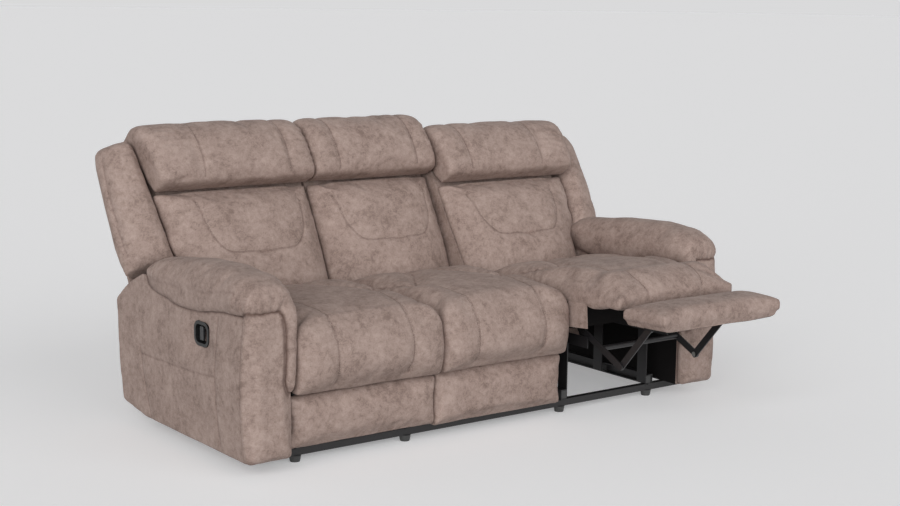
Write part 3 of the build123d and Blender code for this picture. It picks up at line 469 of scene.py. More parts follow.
def curve_through(spots, step=0.004):
    """Even points on a smooth curve through some places."""
    spots = [np.array(s, float) for s in spots]
    padded = [2 * spots[0] - spots[1]] + spots + [2 * spots[-1] - spots[-2]]
    run = []
    for a, b, c, d in zip(padded, padded[1:], padded[2:], padded[3:]):
        count = max(2, int(np.linalg.norm(c - b) / step))
        for i in range(count):
            t = i / count
            run.append(0.5 * (2 * b + (c - a) * t + (2 * a - 5 * b + 4 * c - d) * t ** 2
                              + (3 * b - a - 3 * c + d) * t ** 3))
    run.append(spots[-1])
    return np.array(run)


def surface_tree(piece):
    """Search tree of a piece's faces."""
    piece.data.calc_loop_triangles()
    return BVHTree.FromPolygons([v.co for v in piece.data.vertices],
                                [t.vertices for t in piece.data.loop_triangles])


def laid_on(piece, lines):
    """Lines moved onto the nearest places of a piece's surface."""
    tree = surface_tree(piece)
    laid = []
    for spots in lines:
        run = curve_through(spots)
        laid.append(np.array([tree.find_nearest(Vector(p))[0] for p in run]))
    return laid


def nearest(places, lines):
    """Distance from each place to the lines, and how far along a line its nearest point lies."""
    tree = KDTree(sum(len(line) for line in lines))
    along = []
    for line in lines:
        lengths = np.r_[0.0, np.cumsum(np.linalg.norm(np.diff(line, axis=0), axis=1))]
        for p, s in zip(line, lengths):
            tree.insert(p, len(along))
            along.append(s)
    tree.balance()
    found = [tree.find(p) for p in places]
    return np.array([f[2] for f in found]), np.array([along[f[1]] for f in found])


def stuff(piece, lines, cap, free, pressure=4.0, hold=0.014, frames=16):
    """Blow a cushion up with its sewn lines held, only to the sides that are free."""
    start = points(piece)
    facing = np.max([normals(piece) @ np.array(way) for way in free], axis=0)
    room = np.clip(1.6 * facing, 0.0, 1.0)[:, None]
    held = room[:, 0] <= 0
    if lines:
        held |= nearest(start, lines)[0] < hold
    group = piece.vertex_groups.new(name="held")
    group.add([int(i) for i in np.flatnonzero(held)], 1.0, "REPLACE")
    cloth = piece.modifiers.new("stuffing", "CLOTH")
    cloth.settings.use_pressure = True
    cloth.settings.uniform_pressure_force = pressure
    cloth.settings.effector_weights.gravity = 0.0
    cloth.settings.quality = 3
    cloth.settings.shrink_min = -0.02
    cloth.settings.vertex_group_mass = "held"
    cloth.collision_settings.use_collision = False
    cloth.point_cache.frame_start = 1
    cloth.point_cache.frame_end = frames
    for step in range(1, frames + 1):
        scene.frame_set(step)
    solved = piece.evaluated_get(bpy.context.evaluated_depsgraph_get())
    flat_list = np.empty(len(start) * 3, np.float32)
    solved.data.vertices.foreach_get("co", flat_list)
    moved = flat_list.reshape(-1, 3) - start
    length = np.linalg.norm(moved, axis=1, keepdims=True) + 1e-9
    piece.modifiers.remove(cloth)
    piece.vertex_groups.remove(group)
    scene.frame_set(1)
    put(piece, start + room * moved * cap * np.tanh(length / cap) / length)


def keep_across(piece, low, high):
    """Press a piece flat where it would pass its limits to the left or right."""
    places = points(piece)
    places[:, 0] = np.clip(places[:, 0], low, high)
    put(piece, places)


# Painted shade: the seam attribute darkens the cloth in creases and along sewn lines.
def paint_shade(piece, values):
    """Paint shade on a piece where it isn't darker already."""
    layer = piece.data.attributes.get("seam") or piece.data.attributes.new("seam", "FLOAT", "POINT")
    before = np.zeros(len(piece.data.vertices), np.float32)
    layer.data.foreach_get("value", before)
    layer.data.foreach_set("value", np.maximum(before, np.clip(values, 0.0, 1.0)).astype(np.float32))


def sew(piece, lines, depth=0.006, width=0.006, dip=0.004, reach=0.028, dark=0.7):
    """Draw a piece in along its sewn lines and paint shade along them."""
    places = points(piece)
    apart, _ = nearest(places, lines)
    pull = depth * np.exp(-(apart / width) ** 2) + dip * np.exp(-(apart / reach) ** 2)
    put(piece, places - normals(piece) * pull[:, None])
    # Painted shade in the sewn crease.
    paint_shade(piece, dark * np.exp(-(apart / SEAM_SHADE_WIDTH) ** 2))


def dimple(piece, spots, depth, reach):
    """Pull a piece in round tufted points."""
    places = points(piece)
    ways = normals(piece)
    for spot in spots:
        apart = np.linalg.norm(places - np.array(spot), axis=1)
        places -= ways * (depth * np.exp(-(apart / reach) ** 2))[:, None]
    put(piece, places)


def gather(piece, lines, height, pitch, reach):
    """Small puckers that run out from a sewn line."""
    places = points(piece)
    apart, along = nearest(places, lines)
    wander = np.array([noise.noise(Vector(p) * 9.0) for p in places])
    wave = np.sin(2 * math.pi * along / pitch + 5.0 * wander)
    size = height * np.exp(-apart / reach) * (0.55 + 0.9 * np.abs(wander))
    put(piece, places + normals(piece) * (wave * size)[:, None])


def relax(piece, height, scale):
    """Slow, shallow waves of a cover that has been sat on."""
    places = points(piece)
    wave = np.array([noise.noise(Vector(p) * scale) for p in places])
    put(piece, places + normals(piece) * (wave * height)[:, None])


def finish_soft(piece, body, nodes):
    """Shade, dress and seat a stuffed piece."""
    only(piece)
    bpy.ops.object.shade_smooth()
    piece.data.materials.clear()
    piece.data.materials.append(cover_cloth)
    if body:
        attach(piece, body)
    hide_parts(*nodes)


def finer(piece):
    """One round of subdivision."""
    apply_modifier(piece, "SUBSURF", levels=1, render_levels=1)


print("stuffing tools ready")

# %% [markdown]
# The seats have a row of topstitching on each side of their front lines, and the backs one row. A stitch is a
# small bar of thread that lies on the cover. It is made once as eight corners and repeated along the line,
# turned to the surface each time.

# %% Stitching tool
STITCH_PITCH = 0.0085
STITCH_HALF = (0.0027, 0.0006, 0.0004)
STITCH_ROW = 0.0055
CORNERS = np.array([(a, b, c) for a in (-1, 1) for b in (-1, 1) for c in (-1, 1)], float) * STITCH_HALF
STITCH_FACES = [(0, 1, 3, 2), (4, 6, 7, 5), (0, 4, 5, 1), (2, 3, 7, 6), (0, 2, 6, 4), (1, 5, 7, 3)]


def stitches(name, piece, lines, rows=(-STITCH_ROW, STITCH_ROW)):
    """Rows of thread beside sewn lines."""
    tree = surface_tree(piece)
    verts = []
    faces = []
    for line in lines:
        lengths = np.r_[0.0, np.cumsum(np.linalg.norm(np.diff(line, axis=0), axis=1))]
        for s in np.arange(STITCH_PITCH, lengths[-1] - STITCH_PITCH, STITCH_PITCH):
            i = min(max(int(np.searchsorted(lengths, s)), 2), len(line) - 3)
            ahead = Vector(line[i + 2] - line[i - 2]).normalized()
            middle = tree.find_nearest(Vector(line[i]))
            beside = middle[1].cross(ahead).normalized()
            for row in rows:
                at, up, _, _ = tree.find_nearest(middle[0] + beside * row)
                along = (ahead - up * ahead.dot(up)).normalized()
                across = up.cross(along)
                base = len(verts)
                for a, b, c in CORNERS:
                    verts.append(at + along * a + across * b + up * (c + STITCH_HALF[2] * 0.4))
                faces += [tuple(base + k for k in face) for face in STITCH_FACES]
    mesh = bpy.data.meshes.new(name)
    mesh.from_pydata(verts, [], faces)
    row_piece = bpy.data.objects.new(name, mesh)
    scene.collection.objects.link(row_piece)
    row_piece.data.materials.append(thread)
    return row_piece


print("stitch corners", len(CORNERS))

# %% [markdown]
# Each seat is one stuffed skin from the back down over a fat rolled front edge to the knee. On the two outer
# seats the front part belongs to the footrest's linkage, so the skin bends between the seat and that pad. Two
# sewn lines climb the front, splay out to a tuft on each side and run together again under the back. The
# crown is raised in code first, and the cloth solver then puffs what lies between the tufts.

# %% Seats
LINE_OFF = 150
KNEE_LINE = ((138, 258), (146, 300), (150, 345), (151, 390))
TUFT = (190, 270)
TO_BACK = (TUFT, (130, 370), (75, 460), (50, 560))
TO_SIDE = (TUFT, (232, 315), (262, 360), (288, 410))
SEAT_HALF = {"left": 292.5, "middle": 282.0, "right": 292.5}
SEAT_RISE = 0.038
UP = (0, 0, 1)
AHEAD = (0, -1, 0)


def smooth(t):
    """Soft step from 0 to 1."""
    t = np.clip(t, 0.0, 1.0)
    return t * t * (3 - 2 * t)


def front_lines(unit):
    """Sewn lines of one seat from its knee to the tufts, near its surface."""
    lines = []
    for s in (-1, 1):
        run = [on_chaise(unit, s * x, -56, z) for x, z in KNEE_LINE]
        if not OPENED[unit]:
            run += [on_seat(unit, s * LINE_OFF, -46, 455), on_seat(unit, s * LINE_OFF, -5, 500)]
        run += [on_seat(unit, s * 152, 40, 512), on_seat(unit, s * 160, 110, 514)]
        lines.append(run + [on_seat(unit, s * 172, 185, 512), on_seat(unit, s * TUFT[0], TUFT[1], 508)])
    return lines


def rear_lines(unit):
    """Sewn lines of one seat from the tufts to its back and to its sides."""
    lines = []
    for s in (-1, 1):
        lines.append([on_seat(unit, s * x, y, 508) for x, y in TO_BACK])
        lines.append([on_seat(unit, s * x, y, 506) for x, y in TO_SIDE])
    return lines


def plump(piece, unit):
    """Raise the crown and the rolled front edge of a seat, square to the seat."""
    places = points(piece)
    tip = math.radians(SEAT_TILT * OPENED[unit])
    sideways = np.abs(places[:, 0] * 1000 - SEAT_MIDDLE[unit]) / SEAT_HALF[unit]
    dy = (places[:, 1] - FRONT_LINE) * 1000 + TRAVEL * OPENED[unit] - RECLINE[0]
    dz = places[:, 2] * 1000 - RECLINE[1]
    y = RECLINE[0] + dy * math.cos(tip) - dz * math.sin(tip)
    z = RECLINE[1] + dy * math.sin(tip) + dz * math.cos(tip)
    rise = smooth((z - 396) / 54) * (1 - np.clip(sideways, 0, 1) ** 14)
    rise *= 1 - 0.5 * smooth((y - 500) / 120)
    if OPENED[unit]:
        rise *= 1 - 0.9 * smooth((HINGE[0] - y) / 190)
        rise += 0.6 * smooth((425 - z) / 30) * smooth((HINGE[0] - y) / 90)
    places += (SEAT_RISE * rise)[:, None] * np.array((0, math.sin(tip), math.cos(tip)))
    put(piece, places)


for unit in UNITS:
    name = unit + "_seat_skin"
    nodes = [unit + "_seat_cushion"] + ([] if unit == "middle" else [unit + "_chaise_pad"])
    low = Vector(np.min([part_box(n)[0] for n in nodes], axis=0))
    high = Vector(np.max([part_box(n)[1] for n in nodes], axis=0))
    piece = soft_copy(name, nodes, rounds=8)
    plump(piece, unit)
    ease(piece, 18)
    stuff(piece, laid_on(piece, rear_lines(unit)), cap=0.016, free=(UP, AHEAD), pressure=5.0)
    ease(piece, 2)
    keep_across(piece, low.x - SIDE_SLACK, high.x + SIDE_SLACK)
    finer(piece)
    relax(piece, height=0.0030, scale=10.0)
    tree = surface_tree(piece)
    tufts = [tree.find_nearest(on_seat(unit, s * TUFT[0], TUFT[1], 520))[0] for s in (-1, 1)]
    dimple(piece, tufts, depth=0.012, reach=0.030)
    rear = laid_on(piece, rear_lines(unit))
    gather(piece, rear, height=0.0030, pitch=0.040, reach=0.034)
    sew(piece, rear, depth=0.003, width=0.006, dip=0.003, reach=0.024, dark=0.55)
    front = laid_on(piece, front_lines(unit))
    sew(piece, front, depth=0.003, width=0.005, dip=0.004, reach=0.030, dark=0.6)
    finish_soft(piece, "base" if unit == "middle" else None, nodes)
    rows = stitches(unit + "_seat_stitches", piece, laid_on(piece, front_lines(unit)))
    if unit == "middle":
        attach(rows, "base")
    else:
        for part in (piece, rows):
            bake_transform(part)
    print(name, len(piece.data.polygons), "faces")

# %% [markdown]
# The footrests and the fixed panel under the middle seat are shallow boxed pads. A footrest's cloth is drawn
# over the edge of its board, so pad and board are made as one skin, with black lining on the underside. They
# hang under the seats when closed. The right one is out level with its seat, and its pad spreads a little.

# %% Footrests and the middle panel
FOOTREST_RISE = 0.018
PANEL_HALF = 0.2825
FOOTREST_NOSE = 0.034
FOOTREST_TUCK = 0.012
FOOTREST_RIM = 0.14
UNDERSIDE = 0.75


def swell(piece):
    """Let the pad of the open footrest spread, up and over its front edge."""
    places = points(piece)
    low, high = places.min(axis=0), places.max(axis=0)
    ahead = (high[1] - places[:, 1]) / (high[1] - low[1])
    top = smooth((places[:, 2] - low[2] - 0.02) / 0.03)
    places[:, 2] += FOOTREST_RISE * top
    sideways = np.abs(2 * places[:, 0] - low[0] - high[0]) / (high[0] - low[0])
    rim = smooth((np.maximum(sideways, ahead) - (1 - FOOTREST_RIM)) / FOOTREST_RIM)
    places[:, 2] += FOOTREST_TUCK * rim * (1 - top)
    places[:, 1] -= FOOTREST_NOSE * smooth((ahead - 0.45) / 0.5)
    put(piece, places)


for unit in UNITS:
    nodes = ["middle_front_panel"] if unit == "middle" else [unit + "_ottoman_pad", unit + "_ottoman_board"]
    name = unit + "_footrest_skin" if unit != "middle" else "middle_panel_skin"
    low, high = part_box(nodes[0])
    piece = soft_copy(name, nodes, net=0.008, rounds=4 if unit == "middle" else 10)
    stuff(piece, [], cap=0.012, free=(UP, AHEAD) if OPENED[unit] else (AHEAD,))
    keep_across(piece, low.x, high.x)
    finer(piece)
    if OPENED[unit]:
        swell(piece)
    if unit == "middle":
        put(piece, points(piece) * (PANEL_HALF / high.x, 1, 1))
    relax(piece, height=0.0020, scale=9.0)
    finish_soft(piece, "base" if unit == "middle" else unit + "_ottoman", nodes)
    if unit != "middle":
        piece.data.materials.append(lining_cloth)
        under = Vector((0, 0, -1)) if OPENED[unit] else Vector((0, 1, 0))
        for face in piece.data.polygons:
            face.material_index = 1 if face.normal.dot(under) > UNDERSIDE else 0
    print(name, len(piece.data.polygons), "faces")

# %% [markdown]
# A back is a full cushion with a shield-shaped line of stitching, and a headrest roll sewn across the top of
# it. The roll is set out by rings along its length, fullest in the middle. The outer backs widen towards
# their tops. The right back is the left one mirrored and carried forward with its seat, so it is made once.

# %% Backs
SLOPE = (0, -math.cos(BACK_LEAN), math.sin(BACK_LEAN))
BEHIND = (0, math.cos(BACK_LEAN), -math.sin(BACK_LEAN))
SHIELD = ((-222, 482), (-212, 420), (-195, 340), (-160, 280), (-118, 256), (0, 250), (118, 256), (160, 280),
          (195, 340), (212, 420), (222, 482))
HEAD_LINE = ((540, -76), (600, -84), (660, -77), (732, -53), (770, -18), (794, 30))
HEAD_LINE_OFF = 180
HEAD_HALF = {"left": 290, "middle": 280}
BACK_EDGE = 862
FLARE_SLOPE = 0.14
FLARE_FROM = 600
SOLID_EDGE = {"headrest": (912, 912), "back_cushion": (857, 904)}


def tube_form(name, rings):
    """Closed form through rings of points."""
    count = len(rings[0])
    verts = [spot for ring in rings for spot in ring]
    faces = [tuple(range(count)), tuple(range(len(verts) - 1, len(verts) - count - 1, -1))]
    for k in range(len(rings) - 1):
        for i in range(count):
            j = (i + 1) % count
            faces.append((k * count + j, k * count + i, (k + 1) * count + i, (k + 1) * count + j))
    mesh = bpy.data.meshes.new(name)
    mesh.from_pydata(verts, [], faces)
    made = bpy.data.objects.new(name, mesh)
    scene.collection.objects.link(made)
    only(made)
    bpy.ops.object.mode_set(mode="EDIT")
    bpy.ops.mesh.select_all(action="SELECT")
    bpy.ops.mesh.normals_make_consistent(inside=False)
    bpy.ops.object.mode_set(mode="OBJECT")
    return made


def carried(piece, name, tilt=BACK_TILT):
    """Mirrored copy of a left piece, moved with the right seat and tilted."""
    twin = bpy.data.objects.new(name, piece.data.copy())
    twin.data.name = name
    scene.collection.objects.link(twin)
    places = points(piece)
    a = math.radians(tilt)
    dy = places[:, 1] - (RECLINE[0] / 1000 + FRONT_LINE)
    dz = places[:, 2] - RECLINE[1] / 1000
    moved = np.empty_like(places)
    moved[:, 0] = -places[:, 0]
    moved[:, 1] = places[:, 1] - dy + dy * math.cos(a) + dz * math.sin(a) - TRAVEL / 1000
    moved[:, 2] = places[:, 2] - dz - dy * math.sin(a) + dz * math.cos(a)
    put(twin, moved)
    twin.data.flip_normals()
    return twin


def shield_lines(unit):
    """Stitched line of a back."""
    return [[on_back(unit, across, along, -40) for across, along in SHIELD]]


def head_lines(unit):
    """Two sewn lines of a headrest, from its lower edge over its top."""
    return [[on_back(unit, s * HEAD_LINE_OFF, *spot) for spot in HEAD_LINE] for s in (-1, 1)]


def head_edge(unit):
    """Lower edge and ends of a headrest, where its cover is gathered."""
    half = HEAD_HALF[unit]
    low = [on_back(unit, across, 548, -20) for across in np.linspace(-half, half, 9)]
    ends = [[on_back(unit, s * half, along, -40) for along in (560, 620, 680, 740)] for s in (-1, 1)]
    return [low], ends


HEAD_PROFILE = ((526, 20), (525, -40), (529, -62), (540, -75), (560, -81), (600, -83), (640, -80), (690, -70),
                (732, -52), (766, -22), (787, 12), (796, 45), (791, 82), (783, 120), (774, 155), (762, 176),
                (738, 183), (655, 183), (652, 70), (640, 56), (580, 54))
HEAD_ARCH = 0.6
HEAD_ENDS = ((0.0, 0.76), (0.012, 0.88), (0.035, 0.95), (0.08, 0.985), (0.2, 1.0), (0.35, 1.02), (0.5, 1.03))
HEAD_LOW = 525
HEAD_CORE = 20


def head_rings(left, right):
    """Rings of a headrest from one end to the other, smaller towards its ends."""
    rings = []
    for share, size in HEAD_ENDS + tuple((1 - s, size) for s, size in reversed(HEAD_ENDS[:-1])):
        x = 1000 * (left + share * (right - left))
        rise = 1 - HEAD_ARCH * (1 - size)
        ring = []
        for along, behind in HEAD_PROFILE:
            up = HEAD_LOW + (along - HEAD_LOW) * rise
            ring.append(on_back("middle", x, up, HEAD_CORE + (behind - HEAD_CORE) * size))
        rings.append(ring)
    return rings


def up_slope(places):
    """Distances up the slope of a closed back, in millimetres."""
    dy = (places[:, 1] - FRONT_LINE) * 1000 - RECLINE[0]
    dz = places[:, 2] * 1000 - RECLINE[1]
    return dy * math.sin(BACK_LEAN) + dz * math.cos(BACK_LEAN)


def edge_line(along):
    """Distance from the sofa's middle to the outer edge of an outer back, in millimetres."""
    return BACK_EDGE + (FLARE_SLOPE * along - 5.5) * smooth((along - 230) / 90)


def flare(piece, narrow, wide):
    """Widen the outer half of the left back towards its top, from the solid's lower and upper edge."""
    places = points(piece)
    along = up_slope(places)
    solid_edge = narrow + (wide - narrow) * smooth((along - 330) / 70)
    share = (edge_line(along) - FLARE_FROM) / (solid_edge - FLARE_FROM)
    start = -FLARE_FROM / 1000
    outer = places[:, 0] < start
    places[outer, 0] = start + (places[outer, 0] - start) * share[outer]
    put(piece, places)


for unit in ("left", "middle"):
    body = "base" if unit == "middle" else unit + "_back"
    for kind in ("back_cushion", "headrest"):
        node = unit + "_" + kind
        name = unit + ("_back_skin" if kind == "back_cushion" else "_headrest_skin")
        low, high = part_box(node)
        make = shield_lines if kind == "back_cushion" else head_lines
        if kind == "headrest":
            piece = soft_copy(name, [], rounds=5, extra=[tube_form(name, head_rings(low.x, high.x))])
        else:
            piece = soft_copy(name, [node], rounds=7)
        held = laid_on(piece, make(unit)) if kind == "headrest" else []
        free = (SLOPE, UP) if kind == "headrest" else (SLOPE, AHEAD)
        stuff(piece, held, cap=0.010 if kind == "headrest" else 0.022, free=free, hold=0.010)
        ease(piece, 3)
        keep_across(piece, low.x - SIDE_SLACK, high.x + SIDE_SLACK)
        if unit == "left":
            flare(piece, *SOLID_EDGE[kind])
        finer(piece)
        relax(piece, height=0.0028, scale=8.0)
        if kind == "headrest":
            low_edge, ends = head_edge(unit)
            gather(piece, laid_on(piece, low_edge), height=0.0008, pitch=0.034, reach=0.030)
            gather(piece, laid_on(piece, ends), height=0.0028, pitch=0.030, reach=0.026)
        lines = laid_on(piece, make(unit))
        sew(piece, lines, depth=0.0028, width=0.005, dip=0.002, reach=0.022, dark=0.55)
        twins = [(piece, unit, body)]
        if unit == "left":
            twins.append((carried(piece, name.replace("left", "right")), "right", "right_back"))
        for twin, where, rides_on in twins:
            finish_soft(twin, rides_on, [where + "_" + kind])
            row_name = twin.name.replace("skin", "stitches")
            rows = stitches(row_name, twin, laid_on(twin, make(where)), rows=(STITCH_ROW,))
            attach(rows, rides_on)
        print(name, len(piece.data.polygons), "faces")

# %% [markdown]
# The wing fills the corner between a back and the arm. It lies against the flared edge of the back, its face
# rolls away to an outer edge past the arm, and its foot is cut on a slant, so that it presses less on the arm
# as the back goes down. Rings of points set out that form, and the solver stuffs it.

# %% Wings
WING = ((280, 1064, 34, 0.25), (310, 1078, 14, 0.12), (360, 1086, 6, 0.0), (470, 1090, 2, 0.0),
        (580, 1091, 2, 0.0), (668, 1090, 4, 0.0), (712, 1082, 14, 0.0), (736, 1058, 40, 0.0))
WING_LINE = ((690, 1080), (640, 1090), (560, 1093), (470, 1090), (380, 1084), (310, 1070))
WING_GAP = 3


def on_wing(x, along, behind):
    """Point of the left wing, at a distance from the sofa's middle."""
    return on_back("left", -x - SEAT_MIDDLE["left"], along, behind)


def wing_ring(along, outer, front, slant):
    """One ring of the left wing, counted inwards to outwards over its face and back behind it."""
    inner = float(edge_line(np.array(along))) + WING_GAP
    wide = outer - inner
    spots = [(inner, 90), (inner, front + 34), (inner + 10, front + 12), (inner + 0.22 * wide, front),
             (inner + 0.45 * wide, front + 8), (inner + 0.68 * wide, front + 25),
             (inner + 0.86 * wide, front + 46), (outer - 4, front + 68), (outer, front + 90),
             (outer - 10, 125), (outer - 40, 152), (inner + 0.45 * wide, 165), (inner + 0.2 * wide, 165),
             (inner, 150)]
    return [on_wing(x, along - slant * (behind - 20), behind) for x, behind in spots]


def wing_line():
    """Sewn line down the outer edge of the left wing."""
    return [[on_wing(x, along, 60) for along, x in WING_LINE]]


piece = soft_copy("left_wing_skin", [], net=0.009, rounds=5,
                  extra=[tube_form("left_wing_skin", [wing_ring(*row) for row in WING])])
stuff(piece, [], cap=0.008, free=(SLOPE,))
finer(piece)
relax(piece, height=0.0022, scale=8.0)
sew(piece, laid_on(piece, wing_line()), depth=0.002, width=0.004, dip=0.002, reach=0.016, dark=0.35)
for twin, where in ((piece, "left"), (carried(piece, "right_wing_skin"), "right")):
    finish_soft(twin, where + "_back", [where + "_wing"])
print("wings", len(piece.data.polygons), "faces")

# %% [markdown]
# The rear of each back is a cloth panel drawn over the frame. It is nearly flat, held at its edges and a
# little slack in its middle.

# %% Rear panels
for unit in ("left", "middle"):
    node = unit + "_back_cover"
    name = unit + "_rear_skin"
    piece = soft_copy(name, [node], rounds=2)
    stuff(piece, [], cap=0.007, free=(BEHIND,))
    finer(piece)
    relax(piece, height=0.0024, scale=6.0)
    twins = [(piece, unit, "base" if unit == "middle" else "left_back")]
    if unit == "left":
        twins.append((carried(piece, "right_rear_skin"), "right", "right_back"))
    for twin, where, rides_on in twins:
        finish_soft(twin, rides_on, [where + "_back_cover"])
    print(name, len(piece.data.polygons), "faces")

# %% [markdown]
# An arm is a boarded box with cloth drawn over it, a domed front panel, and a fat roll on top. The roll's
# cover hangs over both sides, is gathered where it turns over the front, and ends in a narrow tongue beside
# the seat. Both arms are alike, so each piece is made on the left and mirrored.

# %% Arms
TONGUE = ((266, 8, 8, -14), (272, 14, 12, -24), (288, 20, 13, -33), (320, 23, 13, -38), (420, 24, 13, -40),
          (500, 26, 13, -40), (545, 29, 13, -38), (562, 24, 12, -26))
TONGUE_MIDDLE = -897
RING = 20
RING_ROUND = 0.75
PANEL = ((12, 0), (-6, 0), (-15, 7), (-22, 20), (-27, 42))
PANEL_MIDDLE = (-964, 300)
PANEL_CORNERS = (((-1048, 50), 16, 180), ((-880, 50), 16, 270), ((-880, 550), 62, 0), ((-1048, 550), 14, 90))
CORNER_STEPS = 7
EDGE_STEPS = 10
ARM_BOW = 0.018
HANDLE_PLACE = (296, 427)
PAD_DRAPE = 0.058
INNER_DRAPE = 0.080
INNER_LIMIT = -0.8745
REAR_ROUND = 0.016
REAR_MIDDLE = (700, 400)
REAR_ANGLE = 34
REAR_SPAN = 27
FRONT_SEAM = ((172, 72), (176, 150), (180, 240), (184, 320), (186, 400), (186, 500))
REAR_SEAM = ((685, 60), (705, 140), (728, 230), (746, 307))
CROSS_SEAM = ((183, 306), (300, 294), (458, 287), (600, 282), (738, 280))
ROLL_SEAM = ((700, 557), (539, 560), (357, 566), (232, 576), (120, 598), (60, 606))
PANEL_SEAM = ((-926, 520), (-923, 440), (-922, 340), (-918, 300), (-897, 268), (-880, 262))


def mirrored(piece, name):
    """Mirror image of a piece of the other arm."""
    twin = bpy.data.objects.new(name, piece.data.copy())
    twin.data.name = name
    scene.collection.objects.link(twin)
    put(twin, points(piece) * (-1, 1, 1))
    twin.data.flip_normals()
    return twin


def tongue_ring(z, half, rear, front):
    """One ring of the tongue in front of the left arm, at one height."""
    ring = []
    for i in range(RING):
        c = math.cos(2 * math.pi * i / RING)
        d = math.sin(2 * math.pi * i / RING)
        x = TONGUE_MIDDLE + half * math.copysign(abs(c) ** RING_ROUND, c)
        y = (rear + front) / 2 + (rear - front) / 2 * math.copysign(abs(d) ** RING_ROUND, d)
        ring.append(place(x, y, z))
    return ring


def panel_ring(y, inset):
    """One ring of the left arm's front panel, round beside the tongue and square at the outer corner."""
    spots = []
    for tip, corner, start in PANEL_CORNERS:
        inward = [1 if here < there else -1 for here, there in zip(tip, PANEL_MIDDLE)]
        x = tip[0] + inward[0] * (inset + corner)
        z = tip[1] + inward[1] * (inset + corner)
        for k in range(CORNER_STEPS):
            a = math.radians(start + 15 * k)
            spots.append((x + corner * math.cos(a), z + corner * math.sin(a)))
    filled = []
    for i, ((x0, z0), (x1, z1)) in enumerate(zip(spots, spots[1:] + spots[:1])):
        steps = EDGE_STEPS if i % CORNER_STEPS == CORNER_STEPS - 1 else 1
        filled += [(x0 + (x1 - x0) * k / steps, z0 + (z1 - z0) * k / steps) for k in range(steps)]
    ring = np.array([place(x, y, z) for x, z in filled])
    ring[:, 0] -= 0.9 * side_bow(ring) * smooth((-0.95 - ring[:, 0]) / 0.095)
    return [Vector(spot) for spot in ring]


def side_bow(places):
    """How far the arm's outer side bows out at some places, nothing round the handle."""
    y = (places[:, 1] - FRONT_LINE) * 1000
    z = places[:, 2] * 1000
    upright = np.sin(math.pi * np.clip((z - 47) / 465, 0, 1)) ** 0.8
    handle = np.exp(-((y - HANDLE_PLACE[0]) / 95) ** 4 - ((z - HANDLE_PLACE[1]) / 85) ** 4)
    return ARM_BOW * upright * (1 - 0.45 * smooth((y - 150) / 500)) * (1 - handle)


def arm_side_lines():
    """Sewn lines on the outer side of the left arm."""
    seams = ((-1056, FRONT_SEAM), (-1050, REAR_SEAM), (-1056, CROSS_SEAM))
    return [[place(x, *spot) for spot in seam] for x, seam in seams]


def roll_lines():
    """Topstitched line along the outer side of the left arm's roll."""
    return [[place(-1064, *spot) for spot in ROLL_SEAM]]


def nose_line():
    """Line over the nose of the left arm's roll, where its cover is gathered."""
    spots = ((-1066, 60, 590), (-1050, -4, 566), (-1010, -30, 556), (-960, -38, 560), (-920, -34, 552))
    return [[place(*spot) for spot in spots]]


def hang(piece):
    """Let the lower rim of the left arm's roll hang down, outside and inside."""
    places = points(piece)
    y = (places[:, 1] - FRONT_LINE) * 1000
    lower = smooth((0.592 - places[:, 2]) / 0.045)
    outer = smooth((-1.018 - places[:, 0]) / 0.030) * smooth((y - 10) / 430) * smooth((750 - y) / 90)
    places[:, 2] -= PAD_DRAPE * outer * lower
    inner = smooth((places[:, 0] + 0.892) / 0.010) * smooth((y - 40) / 120) * smooth((760 - y) / 60)
    places[:, 2] -= INNER_DRAPE * inner * lower * smooth((places[:, 2] - 0.47) / 0.05)
    hung = smooth((0.545 - places[:, 2]) / 0.02) * inner
    places[:, 0] = np.where(hung > 0.5, np.minimum(places[:, 0], INNER_LIMIT), places[:, 0])
    put(piece, places)


def round_rear(places):
    """Move places of the arm's box out from a middle, most at its upper rear corner."""
    dy = (places[:, 1] - FRONT_LINE) * 1000 - REAR_MIDDLE[0]
    dz = places[:, 2] * 1000 - REAR_MIDDLE[1]
    away = np.hypot(dy, dz)
    off = (np.degrees(np.arctan2(dz, dy)) - REAR_ANGLE) / REAR_SPAN
    corner = REAR_ROUND * np.exp(-off ** 2) * smooth((away - 60) / 60)
    places[:, 1] += corner * dy / (away + 1e-6)
    places[:, 2] += corner * dz / (away + 1e-6)


tongue = tube_form("tongue", [tongue_ring(*row) for row in TONGUE])
roll = soft_copy("left_arm_roll", ["left_arm_pad", "left_arm_gusset"], rounds=8, extra=[tongue])
stuff(roll, [], cap=0.010, free=(UP, AHEAD))
finer(roll)
hang(roll)
ease(roll, 4)
relax(roll, height=0.0030, scale=9.0)
gather(roll, laid_on(roll, nose_line()), height=0.0034, pitch=0.030, reach=0.034)
sew(roll, laid_on(roll, roll_lines()), depth=0.002, width=0.005, dip=0.002, reach=0.018, dark=0.3)

face = soft_copy("left_arm_front_skin", [], net=0.008, rounds=4,
                 extra=[tube_form("left_arm_front_skin", [panel_ring(*row) for row in PANEL])])
stuff(face, [], cap=0.008, free=(AHEAD,))
finer(face)
relax(face, height=0.0018, scale=9.0)
# Painted shade along the panel's seam beside the tongue, where a gap would fall dark.
outline = laid_on(face, [[place(x, -40, z) for x, z in PANEL_SEAM]])
paint_shade(face, 0.8 * np.exp(-(nearest(points(face), outline)[0] / 0.006) ** 2))

box_side = soft_copy("left_arm_side_skin", ["left_arm_body"], rounds=5)
places = points(box_side)
places[:, 0] -= side_bow(places) * smooth((-1.02 - places[:, 0]) / 0.018)
round_rear(places)
put(box_side, places)
finer(box_side)
relax(box_side, height=0.0016, scale=7.0)
seams = laid_on(box_side, arm_side_lines())
sew(box_side, seams, depth=0.0022, width=0.005, dip=0.0015, reach=0.02, dark=0.45)
for piece, nodes in ((roll, ("arm_pad", "arm_gusset")), (face, ("arm_front",)), (box_side, ("arm_body",))):
    twin = mirrored(piece, piece.name.replace("left", "right"))
    for made, where in ((piece, "left"), (twin, "right")):
        finish_soft(made, "base", [where + "_" + n for n in nodes])
    print(piece.name, len(piece.data.polygons), "faces")

